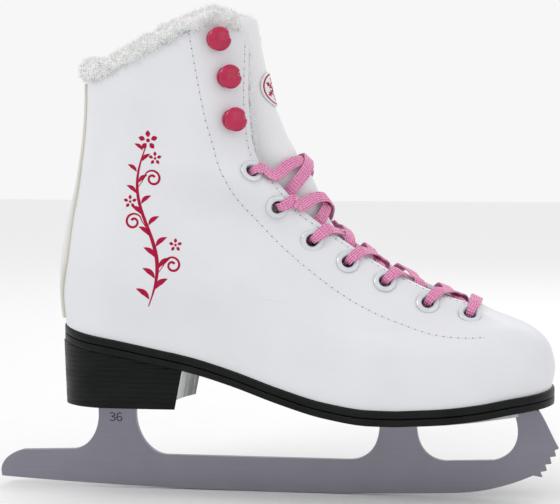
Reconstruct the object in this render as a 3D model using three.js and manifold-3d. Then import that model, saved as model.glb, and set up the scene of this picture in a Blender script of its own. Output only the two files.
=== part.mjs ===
// Recreational figure skate for the right foot: a fur-lined laced boot on a screwed steel blade.
// Millimetres, +Z up, +X towards the toe, -Y the outer side of the foot.
// The blade's lowest point is at Z = 0.
// The whole boot is built from one skin, boot(u, v): v climbs from the sole to the collar, and u goes round
// from the heel seam (0) along the outer side to the front (0.5) and back along the inner side (1).
// Every layer of the boot is that skin again, moved inwards by its depth.
import * as THREE from "three";
import { mergeVertices } from "three/addons/utils/BufferGeometryUtils.js";
import Module from "manifold-3d";

const wasm = await Module();
wasm.setup();

// ---------------------------------------------------------------- driving dimensions
const gap = 0.3; // between pieces that touch
const bootLength = 251; // heel to toe at the sole
const heelX = -109.5; // back of the boot at the sole
const ballHeight = 49.4; // top of the sole at the ball of the foot
const seatRise = 37; // heel seat above the ball
const toeSpring = 7.6; // toe above the ball
const heelHalfWidth = 29;
const waistHalfWidth = 27.5;
const ballHalfWidth = 42;
const ankleHalfWidth = 32;
const collarHalfWidth = 38;
const toeBend = 3.4; // the toe leans to the inner side
const shaftHeight = 127; // heel seat to the collar at the back
const instepHeight = 83; // ball to the foot of the shaft, at the front
const shaftFront = 100; // foot of the shaft to the collar, at the front
const collarArch = 10; // the collar's hump on each side
const shaftRound = 36; // plan radius of the shaft's front

const leather = 1.8;
const stiffener = 1.2;
const lining = 2.4;
const footbedThickness = 3;
const insoleThickness = 1.8;
const midsoleThickness = 3.6;
const outsoleThickness = 3.6;
const welt = 1.6; // sole edge beyond the boot
const heelBottom = 45.5;
const heelBreast = 63; // length of the heel from its back to its breast
const heelTaper = 2;

const bladeThickness = 4;
const bladeLength = 291;
const bladeTail = -145.5;
const runnerTop = 17.6;
const rocker = 2300; // radius of the skating edge
const spinRocker = 92; // radius behind the toe picks
const plateThickness = 2.5;
const toePlateHalfWidth = 26;
const toePlateLength = 88;
const heelPlateHalfWidth = 19;
const heelPlateLength = 46;
const heelStanchion = 21.5;
const ballStanchion = 19;

const eyeletOuter = 5.8;
const eyeletHole = 3;
const hookRadius = 6;
const hookHeight = 7;
const throatHalfGap = 12; // half the opening between the facings over the instep
const shaftHalfGap = 22; // and at the widest, above the instep
const topHalfGap = 19;
const liningShow = 2.2; // the lining stands past the facing's edge

const laceWidth = 6.4;
const laceThickness = 1.2;
const collarRoll = 4.6; // radius of the fur roll
const tongueThickness = 6;
const tongueHalfWidth = 28;
const tongueCrease = 0.756; // place along the front where the tongue folds
const foldGap = 0.6;

const screwHead = 3.6;
const screwShank = 1.7;

// ---------------------------------------------------------------- small maths
const lerp = (a, b, k) => a + (b - a) * k;
const clamp01 = (k) => Math.min(1, Math.max(0, k));
const smooth = (a, b, x) => {
  const k = clamp01((x - a) / (b - a));
  return k * k * (3 - 2 * k);
};

// A smooth function through [x, y] knots that never overshoots them.
function through(knots) {
  const n = knots.length;
  const slope = knots.slice(1).map((k, i) => (k[1] - knots[i][1]) / (k[0] - knots[i][0]));
  const tangent = knots.map((_, i) => {
    if (i === 0) return slope[0];
    if (i === n - 1) return slope[n - 2];
    const [a, b] = [slope[i - 1], slope[i]];
    return a * b <= 0 ? 0 : (2 * a * b) / (a + b);
  });
  return (x) => {
    const at = Math.min(knots[n - 1][0], Math.max(knots[0][0], x));
    let i = 0;
    while (i < n - 2 && at > knots[i + 1][0]) i += 1;
    const h = knots[i + 1][0] - knots[i][0];
    const t = (at - knots[i][0]) / h;
    const [t2, t3] = [t * t, t * t * t];
    return (
      (2 * t3 - 3 * t2 + 1) * knots[i][1] +
      (t3 - 2 * t2 + t) * h * tangent[i] +
      (3 * t2 - 2 * t3) * knots[i + 1][1] +
      (t3 - t2) * h * tangent[i + 1]
    );
  };
}

// ---------------------------------------------------------------- the boot's skin
const toeX = heelX + bootLength;
const along = (t) => heelX + bootLength * t;
const share = (x) => (x - heelX) / bootLength;

const seatCurve = through([
  [0, 1], [0.05, 0.93], [0.12, 0.85], [0.205, 0.735], [0.277, 0.63],
  [0.367, 0.45], [0.466, 0.238], [0.559, 0.075], [0.647, 0.003], [0.72, 0],
]);
const toeCurve = through([[0.7, 0], [0.787, 0.17], [0.854, 0.41], [0.923, 0.76], [1, 1]]);
const featherZ = (x) => ballHeight + seatRise * seatCurve(share(x)) + toeSpring * toeCurve(share(x));

// Half width at the sole, before the ends are rounded.
const soleWidth = through([
  [0, heelHalfWidth],
  [0.2, heelHalfWidth],
  [0.34, waistHalfWidth],
  [0.5, lerp(waistHalfWidth, ballHalfWidth, 0.5)],
  [0.7, ballHalfWidth],
  [1, ballHalfWidth],
]);
const upperWidth = through([
  [0, heelHalfWidth + 3], [0.35, ankleHalfWidth + 0.5], [0.5, ankleHalfWidth],
  [0.68, ankleHalfWidth + 2], [1, collarHalfWidth],
]);
const centreY = (x) => toeBend * smooth(0.4, 1.05, share(x));

// Side view: the heel seam going up, and the toe, vamp, instep and front of the shaft going up.
const seatZ = featherZ(heelX);
const backLine = new THREE.SplineCurve(
  [[0.7, 0], [-0.8, 0.1], [-0.8, 0.21], [0.5, 0.3], [3.3, 0.42], [7.7, 0.57], [10.5, 0.7], [12.2, 0.81],
    [12.9, 0.91], [13, 1]].map(([x, k]) => new THREE.Vector2(heelX + x, seatZ + shaftHeight * k)),
);
const vampPoint = ([t, k]) => new THREE.Vector2(along(t), ballHeight + instepHeight * k);
const shaftPoint = ([x, k]) => new THREE.Vector2(x, ballHeight + instepHeight + shaftFront * k);
const instepX = along(0.588);
const frontLine = new THREE.SplineCurve([
  new THREE.Vector2(toeX, featherZ(toeX)),
  ...[[1.007, 0.2], [1.002, 0.3], [0.988, 0.386], [0.956, 0.464], [0.92, 0.51], [0.883, 0.553],
    [0.843, 0.613], [0.783, 0.67], [0.703, 0.778], [0.632, 0.905], [0.588, 1]].map(vampPoint),
  ...[[-11.5, 0.095], [-23.5, 0.25], [-33, 0.35], [-37.3, 0.45], [-39, 0.56], [-40.5, 0.7],
    [-42, 0.86], [-43, 1]].map(([x, k]) => shaftPoint([instepX + x, k])),
]);
const backAt = (v) => backLine.getPointAt(clamp01(v));
const frontAt = (v) => frontLine.getPointAt(clamp01(v));

const collarHump = through([
  [0, 0], [0.13, -0.36], [0.28, -0.1], [0.43, 0.31], [0.66, 0.87], [0.76, 1], [0.9, 0.6], [1, 0],
]);

// Quarter of a superellipse: 0 at the very end, 1 from one radius on.
const rounded = (distance, radius, power) => {
  const k = 1 - clamp01(distance / radius);
  return (1 - k ** power) ** (1 / power);
};

const toeRound = 62;
const vampReach = 105; // how far behind the ridge the sides reach their full width
const vampTop = 14; // half width just under the ridge

function halfWidth(x, v, fromBack, fromFront) {
  const full = lerp(soleWidth(share(x)), upperWidth(v), smooth(0, 0.3, v));
  const backRound = lerp(heelHalfWidth, shaftRound, clamp01(v));
  const toe = full * rounded(fromFront, toeRound, 2.3);
  const flank = 1 - (1 - clamp01(fromFront / vampReach)) ** 1.4;
  const vamp = vampTop * rounded(fromFront, 7, 2) + (full - vampTop) * flank;
  const shaft = full * rounded(fromFront, shaftRound, 2);
  const low = lerp(toe, vamp, smooth(0.1, 0.27, v));
  return rounded(fromBack, backRound, 2) * lerp(low, shaft, smooth(0.5, 0.72, v));
}

// s runs from the back (0) to the front (1) of one side.
function sidePoint(s, v, side) {
  const [back, front] = [backAt(v), frontAt(v)];
  const length = front.x - back.x;
  const x = back.x + length * s;
  const foot = heelX + bootLength * s;
  const sag = featherZ(foot) - lerp(featherZ(heelX), featherZ(toeX), s);
  const z =
    lerp(back.y, front.y, s) +
    sag * (1 - clamp01(v / 0.6)) ** 2 +
    collarArch * collarHump(s) * smooth(0.7, 1, v);
  return new THREE.Vector3(x, centreY(x) + side * halfWidth(x, v, length * s, length * (1 - s)), z);
}

const sOf = (u) => (1 - Math.cos(2 * Math.PI * u)) / 2; // closer points at the heel and the front
const boot = (u, v) => sidePoint(sOf(u), v, u < 0.5 ? -1 : 1);

// Outward normal, from four neighbours. Near a seam the neighbours lie on both sides of it.
function bootNormal(u, v) {
  const e = 0.004;
  const [lowV, highV] = [Math.max(0, v - e), Math.min(1, v + e)];
  const wrap = (k) => (k + 1) % 1;
  const across = boot(wrap(u + e), v).sub(boot(wrap(u - e), v));
  const up = boot(u, highV).sub(boot(u, lowV));
  return across.cross(up).normalize();
}
const skin = (u, v, depth) => boot(u, v).addScaledVector(bootNormal(u, v), -depth);

// The place on the skin that shows at (x, z) from the side.
function placeAt(x, z, side, from = [0.6, 0.6]) {
  let [s, v] = from;
  const e = 1e-4;
  for (let i = 0; i < 60; i += 1) {
    const p = sidePoint(s, v, side);
    const [ps, pv] = [sidePoint(s + e, v, side), sidePoint(s, v + e, side)];
    const [a, b] = [(ps.x - p.x) / e, (pv.x - p.x) / e];
    const [c, d] = [(ps.z - p.z) / e, (pv.z - p.z) / e];
    const det = a * d - b * c;
    const [dx, dz] = [x - p.x, z - p.z];
    if (Math.abs(dx) + Math.abs(dz) < 1e-4) break;
    s = Math.min(0.999, Math.max(0.001, s + (0.7 * (d * dx - b * dz)) / det));
    v = Math.min(0.995, Math.max(0.005, v + (0.7 * (a * dz - c * dx)) / det));
  }
  const u = Math.acos(1 - 2 * s) / (2 * Math.PI);
  return { u: side < 0 ? u : 1 - u, v };
}

// ---------------------------------------------------------------- turning grids into solids
function geometry(points, faces) {
  const g = new THREE.BufferGeometry();
  g.setAttribute("position", new THREE.Float32BufferAttribute(points.flatMap((p) => [p.x, p.y, p.z]), 3));
  g.setIndex(faces.flat());
  return g;
}

// Rings of equal count joined in order. closed joins the last ring to the first, else both ends are capped.
function loft(rings, closed = false) {
  const m = rings[0].length;
  const faces = [];
  const steps = closed ? rings.length : rings.length - 1;
  for (let i = 0; i < steps; i += 1) {
    const [a, b] = [i * m, ((i + 1) % rings.length) * m];
    for (let j = 0; j < m; j += 1) {
      const k = (j + 1) % m;
      faces.push([a + j, a + k, b + k], [a + j, b + k, b + j]);
    }
  }
  if (!closed) {
    const cap = (ring) => THREE.ShapeUtils.triangulateShape(flatten(ring), []);
    const last = (rings.length - 1) * m;
    cap(rings[0]).forEach(([p, q, r]) => faces.push([p, r, q]));
    cap(rings[rings.length - 1]).forEach(([p, q, r]) => faces.push([last + p, last + q, last + r]));
  }
  return outward(geometry(rings.flat(), faces));
}

// A ring seen along its own normal, turning left.
function flatten(ring) {
  const centre = ring.reduce((sum, p) => sum.add(p), new THREE.Vector3()).divideScalar(ring.length);
  const normal = new THREE.Vector3();
  ring.forEach((p, i) => {
    const q = ring[(i + 1) % ring.length];
    normal.add(p.clone().sub(centre).cross(q.clone().sub(centre)));
  });
  normal.normalize();
  const x = ring[1].clone().sub(ring[0]).normalize();
  const y = normal.clone().cross(x);
  return ring.map((p) => new THREE.Vector2(p.dot(x), p.dot(y)));
}

const volume = (g) => {
  const [p, index] = [g.getAttribute("position"), g.getIndex()];
  const at = (i) => new THREE.Vector3().fromBufferAttribute(p, index.getX(i));
  let sum = 0;
  for (let i = 0; i < index.count; i += 3) sum += at(i).dot(at(i + 1).cross(at(i + 2)));
  return sum;
};
function outward(g) {
  if (volume(g) < 0) {
    const index = g.getIndex();
    for (let i = 0; i < index.count; i += 3) {
      const keep = index.getX(i + 1);
      index.setX(i + 1, index.getX(i + 2));
      index.setX(i + 2, keep);
    }
  }
  return g;
}

const steps = (from, to, count) => Array.from({ length: count + 1 }, (_, i) => lerp(from, to, i / count));

// Every layer uses the same rows and columns of the skin, so that flat facets of one never cross the next.
const columns = 32;
const rows = [0, 0.03, 0.09, 0.15, 0.22, 0.3, 0.4, 0.5, 0.6, 0.68, 0.76, 0.87, 0.975, 1];
const rowsBetween = (v0, v1) => rows.filter((v) => v > v0 - 1e-6 && v < v1 + 1e-6);

// A sheet over a grid of the skin, between two depths. Both faces split their squares the same way.
function sheet(us, vs, outer, inner, closed) {
  const rings = us.map((u) => [vs.map((v) => skin(u, v, outer)), vs.map((v) => skin(u, v, inner))]);
  const n = vs.length;
  const at = (i, face, j) => ((i % us.length) * 2 + face) * n + j;
  const faces = [];
  const quad = (p, q, r, t) => faces.push([p, q, r], [p, r, t]);
  const spans = closed ? us.length : us.length - 1;
  for (let i = 0; i < spans; i += 1) {
    for (let j = 0; j < n - 1; j += 1) {
      quad(at(i, 0, j), at(i + 1, 0, j), at(i + 1, 0, j + 1), at(i, 0, j + 1));
      faces.push([at(i, 1, j), at(i + 1, 1, j + 1), at(i + 1, 1, j)]);
      faces.push([at(i, 1, j), at(i, 1, j + 1), at(i + 1, 1, j + 1)]);
    }
    quad(at(i, 0, n - 1), at(i + 1, 0, n - 1), at(i + 1, 1, n - 1), at(i, 1, n - 1));
    quad(at(i + 1, 0, 0), at(i, 0, 0), at(i, 1, 0), at(i + 1, 1, 0));
  }
  if (!closed) {
    const last = us.length - 1;
    for (let j = 0; j < n - 1; j += 1) {
      quad(at(0, 1, j), at(0, 0, j), at(0, 0, j + 1), at(0, 1, j + 1));
      quad(at(last, 0, j), at(last, 1, j), at(last, 1, j + 1), at(last, 0, j + 1));
    }
  }
  return outward(geometry(rings.flat(2), faces));
}

// A band of the skin all the way round, and a patch of it from one column to another.
const allColumns = Array.from({ length: columns }, (_, i) => i / columns);
const band = (v0, v1, outer, inner) => sheet(allColumns, rowsBetween(v0, v1), outer, inner, true);
const patch = (v0, v1, from, to, outer, inner) => {
  const us = Array.from({ length: to - from + 1 }, (_, i) => ((from + i + columns) % columns) / columns);
  return sheet(us, rowsBetween(v0, v1), outer, inner, false);
};

// ---------------------------------------------------------------- booleans
function solid(g) {
  const bare = g.clone();
  Object.keys(bare.attributes).filter((k) => k !== "position").forEach((k) => bare.deleteAttribute(k));
  const merged = mergeVertices(bare, 1e-4);
  return new wasm.Manifold(
    new wasm.Mesh({
      numProp: 3,
      vertProperties: new Float32Array(merged.attributes.position.array),
      triVerts: new Uint32Array(merged.index.array),
    }),
  );
}
function geometryOf(made) {
  const mesh = made.getMesh();
  const g = new THREE.BufferGeometry();
  const n = mesh.numProp;
  const position = new Float32Array(mesh.numVert * 3);
  for (let i = 0; i < mesh.numVert; i += 1) {
    position.set(mesh.vertProperties.subarray(i * n, i * n + 3), 3 * i);
  }
  g.setAttribute("position", new THREE.BufferAttribute(position, 3));
  g.setIndex(new THREE.BufferAttribute(new Uint32Array(mesh.triVerts), 1));
  return g;
}
const cut = (g, ...tools) => geometryOf(tools.reduce((left, tool) => left.subtract(solid(tool)), solid(g)));
const join = (g, ...more) => geometryOf(more.reduce((sum, part) => sum.add(solid(part)), solid(g)));

// ---------------------------------------------------------------- finishes
const finish = (color, roughness, metalness = 0) =>
  new THREE.MeshStandardMaterial({ color, roughness, metalness });
const finishes = {
  whiteLeather: finish(0xe9e9ec, 0.45),
  stayLeather: finish(0xe4e4e4, 0.5),
  piping: finish(0xd9d8c6, 0.55),
  fur: finish(0xf2f2ee, 0.95),
  liningFur: finish(0xecebe6, 0.95),
  board: finish(0xb59b74, 0.9),
  stiffener: finish(0xcfc9bd, 0.8),
  blackSole: finish(0x15191a, 0.5),
  blackHeel: finish(0x101413, 0.4),
  steel: finish(0x84848f, 0.35, 0.9),
  zinc: finish(0xa9abb0, 0.35, 0.9),
  eyelet: finish(0xe8ebef, 0.25, 0.2),
  hook: finish(0xb8123f, 0.15, 0.3),
  lace: finish(0xe070a8, 0.7),
  aglet: finish(0xe9c9dc, 0.2),
  emblem: finish(0xb0143e, 0.4),
};

const skate = new THREE.Group();
function piece(name, g, look) {
  const mesh = new THREE.Mesh(g, look.clone());
  mesh.name = name;
  skate.add(mesh);
  return mesh;
}

// ---------------------------------------------------------------- throat opening
// Half the opening at each place along the front, closed below by a round end at the vamp.
const throatEnd = 0.247;
const shaftStart = 0.66;
const halfGapAt = through([
  [throatEnd, 3],
  [throatEnd + 0.006, throatHalfGap * 0.65],
  [throatEnd + 0.016, throatHalfGap * 0.9],
  [throatEnd + 0.05, throatHalfGap],
  [0.5, throatHalfGap],
  [0.6, lerp(throatHalfGap, shaftHalfGap, 0.25)],
  [shaftStart, lerp(throatHalfGap, shaftHalfGap, 0.65)],
  [0.76, shaftHalfGap],
  [0.86, shaftHalfGap],
  [1, topHalfGap],
]);

// The direction away from the boot along its front, in the side view.
function frontNormal(v) {
  const a = frontAt(v - 0.01);
  const b = frontAt(v + 0.01);
  return new THREE.Vector3(b.y - a.y, 0, a.x - b.x).normalize();
}
const frontPoint = (v, out) => {
  const p = frontAt(v);
  return new THREE.Vector3(p.x, centreY(p.x), p.y).addScaledVector(frontNormal(v), out);
};

// A wedge that opens the throat. less makes it narrower on each side.
function throatCutter(less, depth) {
  const vs = [...steps(throatEnd, 0.33, 4), 0.42, 0.52, 0.6, 0.68, 0.76, 0.86, 1];
  const rings = vs.map((v) => {
    const half = Math.max(0.4, halfGapAt(v) - less);
    const n = frontNormal(v);
    const p = frontPoint(v, 0);
    const corner = (y, out) => p.clone().addScaledVector(n, out).add(new THREE.Vector3(0, y, 0));
    return [corner(-half, -depth), corner(half, -depth), corner(half, 14), corner(-half, 14)];
  });
  const top = rings[rings.length - 1].map((p) => p.clone().add(new THREE.Vector3(0, 0, 30)));
  return loft([...rings, top]);
}

// ---------------------------------------------------------------- eyelets and hooks: where they sit
const eyeletPlaces = [
  [0.838, 0.55], [0.755, 0.616], [0.67, 0.742], [0.596, 0.857], [0.525, 0.984],
].map(([t, k]) => [along(t), ballHeight + instepHeight * k]);
eyeletPlaces.push([instepX - 32.5, ballHeight + instepHeight + shaftFront * 0.155]);
eyeletPlaces.push([instepX - 45, ballHeight + instepHeight + shaftFront * 0.335]);
const hookPlaces = [[-54.9, 0.59], [-57.4, 0.8], [-61.8, 0.985]].map(([x, k]) => [
  instepX + x,
  ballHeight + instepHeight + shaftFront * k,
]);
const sides = { lateral: -1, medial: 1 };

function seatAt([x, z], side) {
  const { u, v } = placeAt(x, z, side);
  return { u, v, point: boot(u, v), normal: bootNormal(u, v) };
}
const places = [];
Object.entries(sides).forEach(([name, side]) => {
  const add = (kind, xz, i) => places.push({ kind, name: `${kind}_${name}_${i + 1}`, ...seatAt(xz, side) });
  eyeletPlaces.forEach((xz, i) => add("eyelet", xz, i));
  hookPlaces.forEach((xz, i) => add("hook", xz, i));
});

// Turns geometry made along +Z so that +Z follows the normal, with +X kept towards the front of the boot.
function seatOn(g, { point, normal }, lift = 0) {
  const z = normal.clone();
  const x = new THREE.Vector3(1, 0, 0).addScaledVector(z, -z.x).normalize();
  const y = z.clone().cross(x);
  const m = new THREE.Matrix4().makeBasis(x, y, z).setPosition(point.clone().addScaledVector(z, lift));
  return g.clone().applyMatrix4(m);
}
const lathe = (profile, segments) =>
  outward(
    mergeVertices(
      (() => {
        const g = new THREE.LatheGeometry(profile.map(([r, z]) => new THREE.Vector2(r, z)), segments);
        g.deleteAttribute("normal");
        g.deleteAttribute("uv");
        return g.rotateX(Math.PI / 2);
      })(),
      1e-4,
    ),
  );
const rod = (radius, from, to, segments = 10) =>
  lathe([[0, from], [radius, from], [radius, to], [0, to]], segments);

const layers = leather + stiffener + lining + 3 * gap; // through the facing
const layOn = 0.5; // clear of the facets of the leather below
const hookPin = 1.6;
const pinEnd = -(leather + stiffener + gap - 0.2); // the pin ends in the eyelet strip
const holesOf = (kind, radius, segments) =>
  places.filter((at) => at.kind === kind).map((at) => seatOn(rod(radius, -layers - 4, 3, segments), at));

// ---------------------------------------------------------------- boot layers
// The leather is relieved under each flange, so that the flange lies flat on it.
const flangeSeats = places.map((at) =>
  seatOn(rod((at.kind === "eyelet" ? eyeletOuter : hookRadius * 0.85) + gap, layOn - gap, 5, 8), at),
);
const eyeletWall = 0.5;
const eyeletHoles = holesOf("eyelet", eyeletHole + eyeletWall + gap, 8);
const pinHoles = holesOf("hook", hookPin + gap, 6);
const throat = throatCutter(0, 22);
piece(
  "upper_body",
  cut(band(0, 1, 0, leather), throat, ...eyeletHoles, ...pinHoles, ...flangeSeats),
  finishes.whiteLeather,
);

const under = leather + gap;
const liningDepth = under + stiffener + 2 * gap;
piece(
  "boot_lining",
  cut(band(0.03, 0.975, liningDepth, liningDepth + lining), throatCutter(liningShow, 26), ...eyeletHoles),
  finishes.liningFur,
);
piece("heel_counter", patch(0.03, 0.3, -6, 6, under, under + stiffener), finishes.stiffener);
piece("toe_puff", patch(0.03, 0.15, 12, 20, under, under + stiffener), finishes.stiffener);

// The eyelet strip: a U under the edge of the throat that carries the eyelets and the hooks.
const eyestayWidth = 22;
function eyestay() {
  const blank = patch(0.22, 0.975, 9, 23, under, under + stiffener);
  const outline = [0.23, 0.27, 0.32, 0.42, 0.52, 0.6, 0.68, 0.76, 0.86, 1].map((v) => {
    const half = halfGapAt(v) + eyestayWidth * (v < 0.6 ? 0.8 : 1);
    const corner = (y, out) => frontPoint(v, out).add(new THREE.Vector3(0, y, 0));
    return [corner(-half, -34), corner(half, -34), corner(half, 12), corner(-half, 12)];
  });
  return geometryOf(solid(blank).intersect(solid(loft(outline))));
}
piece("eyestay", cut(eyestay(), throat, ...eyeletHoles, ...pinHoles), finishes.stiffener);

// The back stay covers the heel seam, with a piping along each edge.
const stayThickness = 1;
const stayHalf = through([[0, 9], [0.1, 10], [0.28, 17], [0.5, 13], [0.75, 9], [1, 8]]);
// The column position that lies a given distance round from the heel seam.
const roundFromHeel = (distance, v) => {
  const radius = lerp(heelHalfWidth, shaftRound, v);
  const back = radius * (1 - Math.cos(distance / radius));
  const length = frontAt(v).x - backAt(v).x;
  return Math.acos(1 - (2 * back) / length) / (2 * Math.PI);
};
function stayGrid(outer, inner) {
  const vs = rowsBetween(0.03, 0.975);
  return loft(
    vs.map((v) => {
      const reach = roundFromHeel(stayHalf(v), v);
      const us = steps(-reach, reach, 8).map((u) => (u + 1) % 1);
      return [...us.map((u) => skin(u, v, -outer)), ...[...us].reverse().map((u) => skin(u, v, -inner))];
    }),
  );
}
piece("back_stay", stayGrid(layOn + stayThickness, layOn), finishes.stayLeather);
const pipingRadius = 0.9;
function piping(side) {
  const vs = steps(0.03, 0.97, 24);
  const at = (v, out) => {
    const reach = roundFromHeel(stayHalf(v) + 2 * gap + pipingRadius + 0.4, v);
    return skin(side < 0 ? reach : 1 - reach, v, -out);
  };
  return loft(
    vs.map((v) => {
      const centre = at(v, layOn + pipingRadius);
      const out = at(v, layOn + 2 * pipingRadius).sub(centre).normalize();
      const along = at(Math.min(1, v + 0.02), 0).sub(at(v, 0)).normalize();
      return ringRound(centre, out, along, pipingRadius, pipingRadius, 6);
    }),
  );
}
// A ring of points round a centre: flat is measured across, thick along the normal.
function ringRound(centre, normal, along, thick, flat, count) {
  const across = along.clone().cross(normal).normalize();
  const up = across.clone().cross(along).normalize();
  return Array.from({ length: count }, (_, i) => {
    const a = (2 * Math.PI * (i + 0.5)) / count;
    return centre
      .clone()
      .addScaledVector(across, flat * Math.cos(a))
      .addScaledVector(up, thick * Math.sin(a));
  });
}
piece("piping_lateral", piping(-1), finishes.piping);
piece("piping_medial", piping(1), finishes.piping);

// The fur roll on the collar, open at the throat.
function collarFur() {
  const start = 0.405;
  const us = steps(start, start - 2 * start, 34);
  const rings = us.map((u, i) => {
    const w = (u + 1) % 1;
    const normal = bootNormal(w, 0.999);
    const end = Math.min(1, 0.45 + Math.min(i, 34 - i) * 0.28);
    const centre = skin(w, 1, layers / 2 - 0.4).add(new THREE.Vector3(0, 0, gap + collarRoll * 1.02));
    const ahead = skin((u + 0.99) % 1, 1, layers / 2).sub(skin((u + 1.01) % 1, 1, layers / 2)).normalize();
    const up = new THREE.Vector3(0, 0, 1);
    const out = normal.clone().setZ(0).normalize();
    return Array.from({ length: 8 }, (_, k) => {
      const a = (2 * Math.PI * k) / 8;
      return centre.clone()
        .addScaledVector(out, collarRoll * end * 1.15 * Math.cos(a))
        .addScaledVector(up, collarRoll * end * Math.sin(a) - collarRoll * (1 - end) * 0.8);
    });
  });
  return loft(rings);
}
piece("collar_fur", collarFur(), finishes.fur);

// ---------------------------------------------------------------- sole
const outlineHalf = (x, grow, taper = 0) => {
  const t = share(x);
  const [fromBack, fromFront] = [x - heelX + grow, toeX + grow - x];
  const full = soleWidth(t) + grow - taper;
  return full * rounded(fromBack, heelHalfWidth, 2) * rounded(fromFront, toeRound, 2.3);
};
// A plate that follows the sole's line between two heights, given as functions of x.
function soleLayer(from, to, halfAt, topAt, bottomAt, count = 26) {
  const cosine = (_, i) => lerp(from, to, (1 - Math.cos((Math.PI * i) / count)) / 2);
  const xs = Array.from({ length: count + 1 }, cosine);
  return loft(
    xs.map((x) => {
      const [half, mid] = [Math.max(1, halfAt(x)), centreY(x)];
      return [
        new THREE.Vector3(x, mid - half, topAt(x)),
        new THREE.Vector3(x, mid - half, bottomAt(x)),
        new THREE.Vector3(x, mid + half, bottomAt(x)),
        new THREE.Vector3(x, mid + half, topAt(x)),
      ];
    }),
  );
}
const down = (amount) => (x) => featherZ(x) - amount;
const edge = 0.5; // the sole's ends are this much short of a point
const midBottom = gap + midsoleThickness;
const outTop = midBottom + gap;
const outBottom = outTop + outsoleThickness;
const underside = down(outBottom);
const weltHalf = (x) => outlineHalf(x, welt * smooth(0, 0.12, share(x)));
const soleFrom = heelX + edge;
const soleTo = toeX + welt - edge;

const boardInset = leather + 4 * gap;
const insole = soleLayer(heelX + boardInset + edge, toeX - boardInset - edge,
  (x) => outlineHalf(x, -boardInset), down(-gap - insoleThickness), down(-gap));
piece("insole_board", insole, finishes.board);
const bedInset = liningDepth + lining + 3 * gap;
const bedBottom = -(2 * gap + insoleThickness);
piece(
  "footbed",
  soleLayer(heelX + bedInset + edge, toeX - bedInset - 2.5, (x) => outlineHalf(x, -bedInset),
    down(bedBottom - footbedThickness), down(bedBottom)),
  finishes.liningFur,
);

// Screws: each has its place in plan and the underside of the piece it enters.
const toeScrewPlaces = [[0.62, -1], [0.62, 1], [0.77, -1], [0.77, 1], [0.905, 0]];
const heelScrewPlaces = [[0.05, 0], [0.105, -1], [0.105, 1], [0.2, -1], [0.2, 1]];
const toeScrewSpread = toePlateHalfWidth - 9;
const heelScrewSpread = heelPlateHalfWidth - 6.5;
const toeScrewLength = plateThickness + outsoleThickness + midsoleThickness - 1;
const heelScrewLength = 20;
function screw(length, grow = 0) {
  const head = 1.8;
  return lathe([
    [0, -grow], [screwHead + grow, -grow], [screwShank + grow, head + grow], [screwShank + grow, length - 2],
    [screwShank * 0.2 + grow, length + grow], [0, length + grow],
  ], 8);
}
const toePlateFrom = along(0.585);
const toePlateTo = toePlateFrom + toePlateLength;
const plateTop = down(outBottom + gap);
const plateBottom = down(outBottom + gap + plateThickness);
const toeScrews = toeScrewPlaces.map(([t, side]) => {
  const x = along(t);
  return new THREE.Vector3(x, centreY(x) + side * toeScrewSpread, plateBottom(x) + 0.1);
});
const heelScrews = heelScrewPlaces.map(([t, side]) => {
  const x = along(t);
  return new THREE.Vector3(x, side * heelScrewSpread, heelBottom + gap);
});
const moved = (g, p) => g.clone().translate(p.x, p.y, p.z);
const toeHoles = toeScrews.map((p) => moved(screw(toeScrewLength, gap), p));
const heelHoles = heelScrews.map((p) => moved(screw(heelScrewLength, gap), p));
// A clearance that reaches below the plate, so that each countersink is open.
const openBelow = (p) => moved(rod(screwHead + gap, -3, 0.05, 8), p);

const shankHalf = 6;
const shankThickness = 1.4;
const shankFrom = along(0.12);
const shankTo = along(0.52);
const shankTop = 0.9;
const shankShape = (grow) =>
  soleLayer(shankFrom - grow, shankTo + grow, () => shankHalf + grow, down(gap + shankTop - (grow ? 3 : 0)),
    down(gap + shankTop + shankThickness + grow), 10);
piece("shank", shankShape(0), finishes.zinc);
piece(
  "midsole",
  cut(
    soleLayer(soleFrom, soleTo, weltHalf, down(gap), down(midBottom)),
    shankShape(gap),
    ...toeHoles,
  ),
  finishes.blackSole,
);
piece(
  "outsole",
  cut(
    soleLayer(soleFrom, soleTo, weltHalf, down(outTop), underside),
    ...toeHoles,
  ),
  finishes.blackSole,
);

// The toe plate hugs the sole; the heel plate is let into the bottom of the heel.
const toePlateHalf = (x) =>
  Math.min(toePlateHalfWidth, outlineHalf(x, -5)) * rounded(x - toePlateFrom + 1, 10, 2);
const ballTenon = [along(0.655), along(0.655) + ballStanchion];
const toeTenon = [along(0.925), along(0.925) + 11];
const heelTenon = [along(0.065), along(0.065) + heelStanchion];
const tenonCutter = ([from, to], z0, z1) =>
  new THREE.BoxGeometry(to - from + 2 * gap, bladeThickness + 2 * gap, z1 - z0)
    .translate((from + to) / 2, 0, (z0 + z1) / 2);
const toePlateGeometry = soleLayer(toePlateFrom, toePlateTo, toePlateHalf, plateTop, plateBottom, 16);
piece(
  "toe_plate",
  cut(toePlateGeometry, tenonCutter(ballTenon, 20, 70), tenonCutter(toeTenon, 20, 70), ...toeHoles,
    ...toeScrews.map(openBelow)),
  finishes.steel,
);

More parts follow.
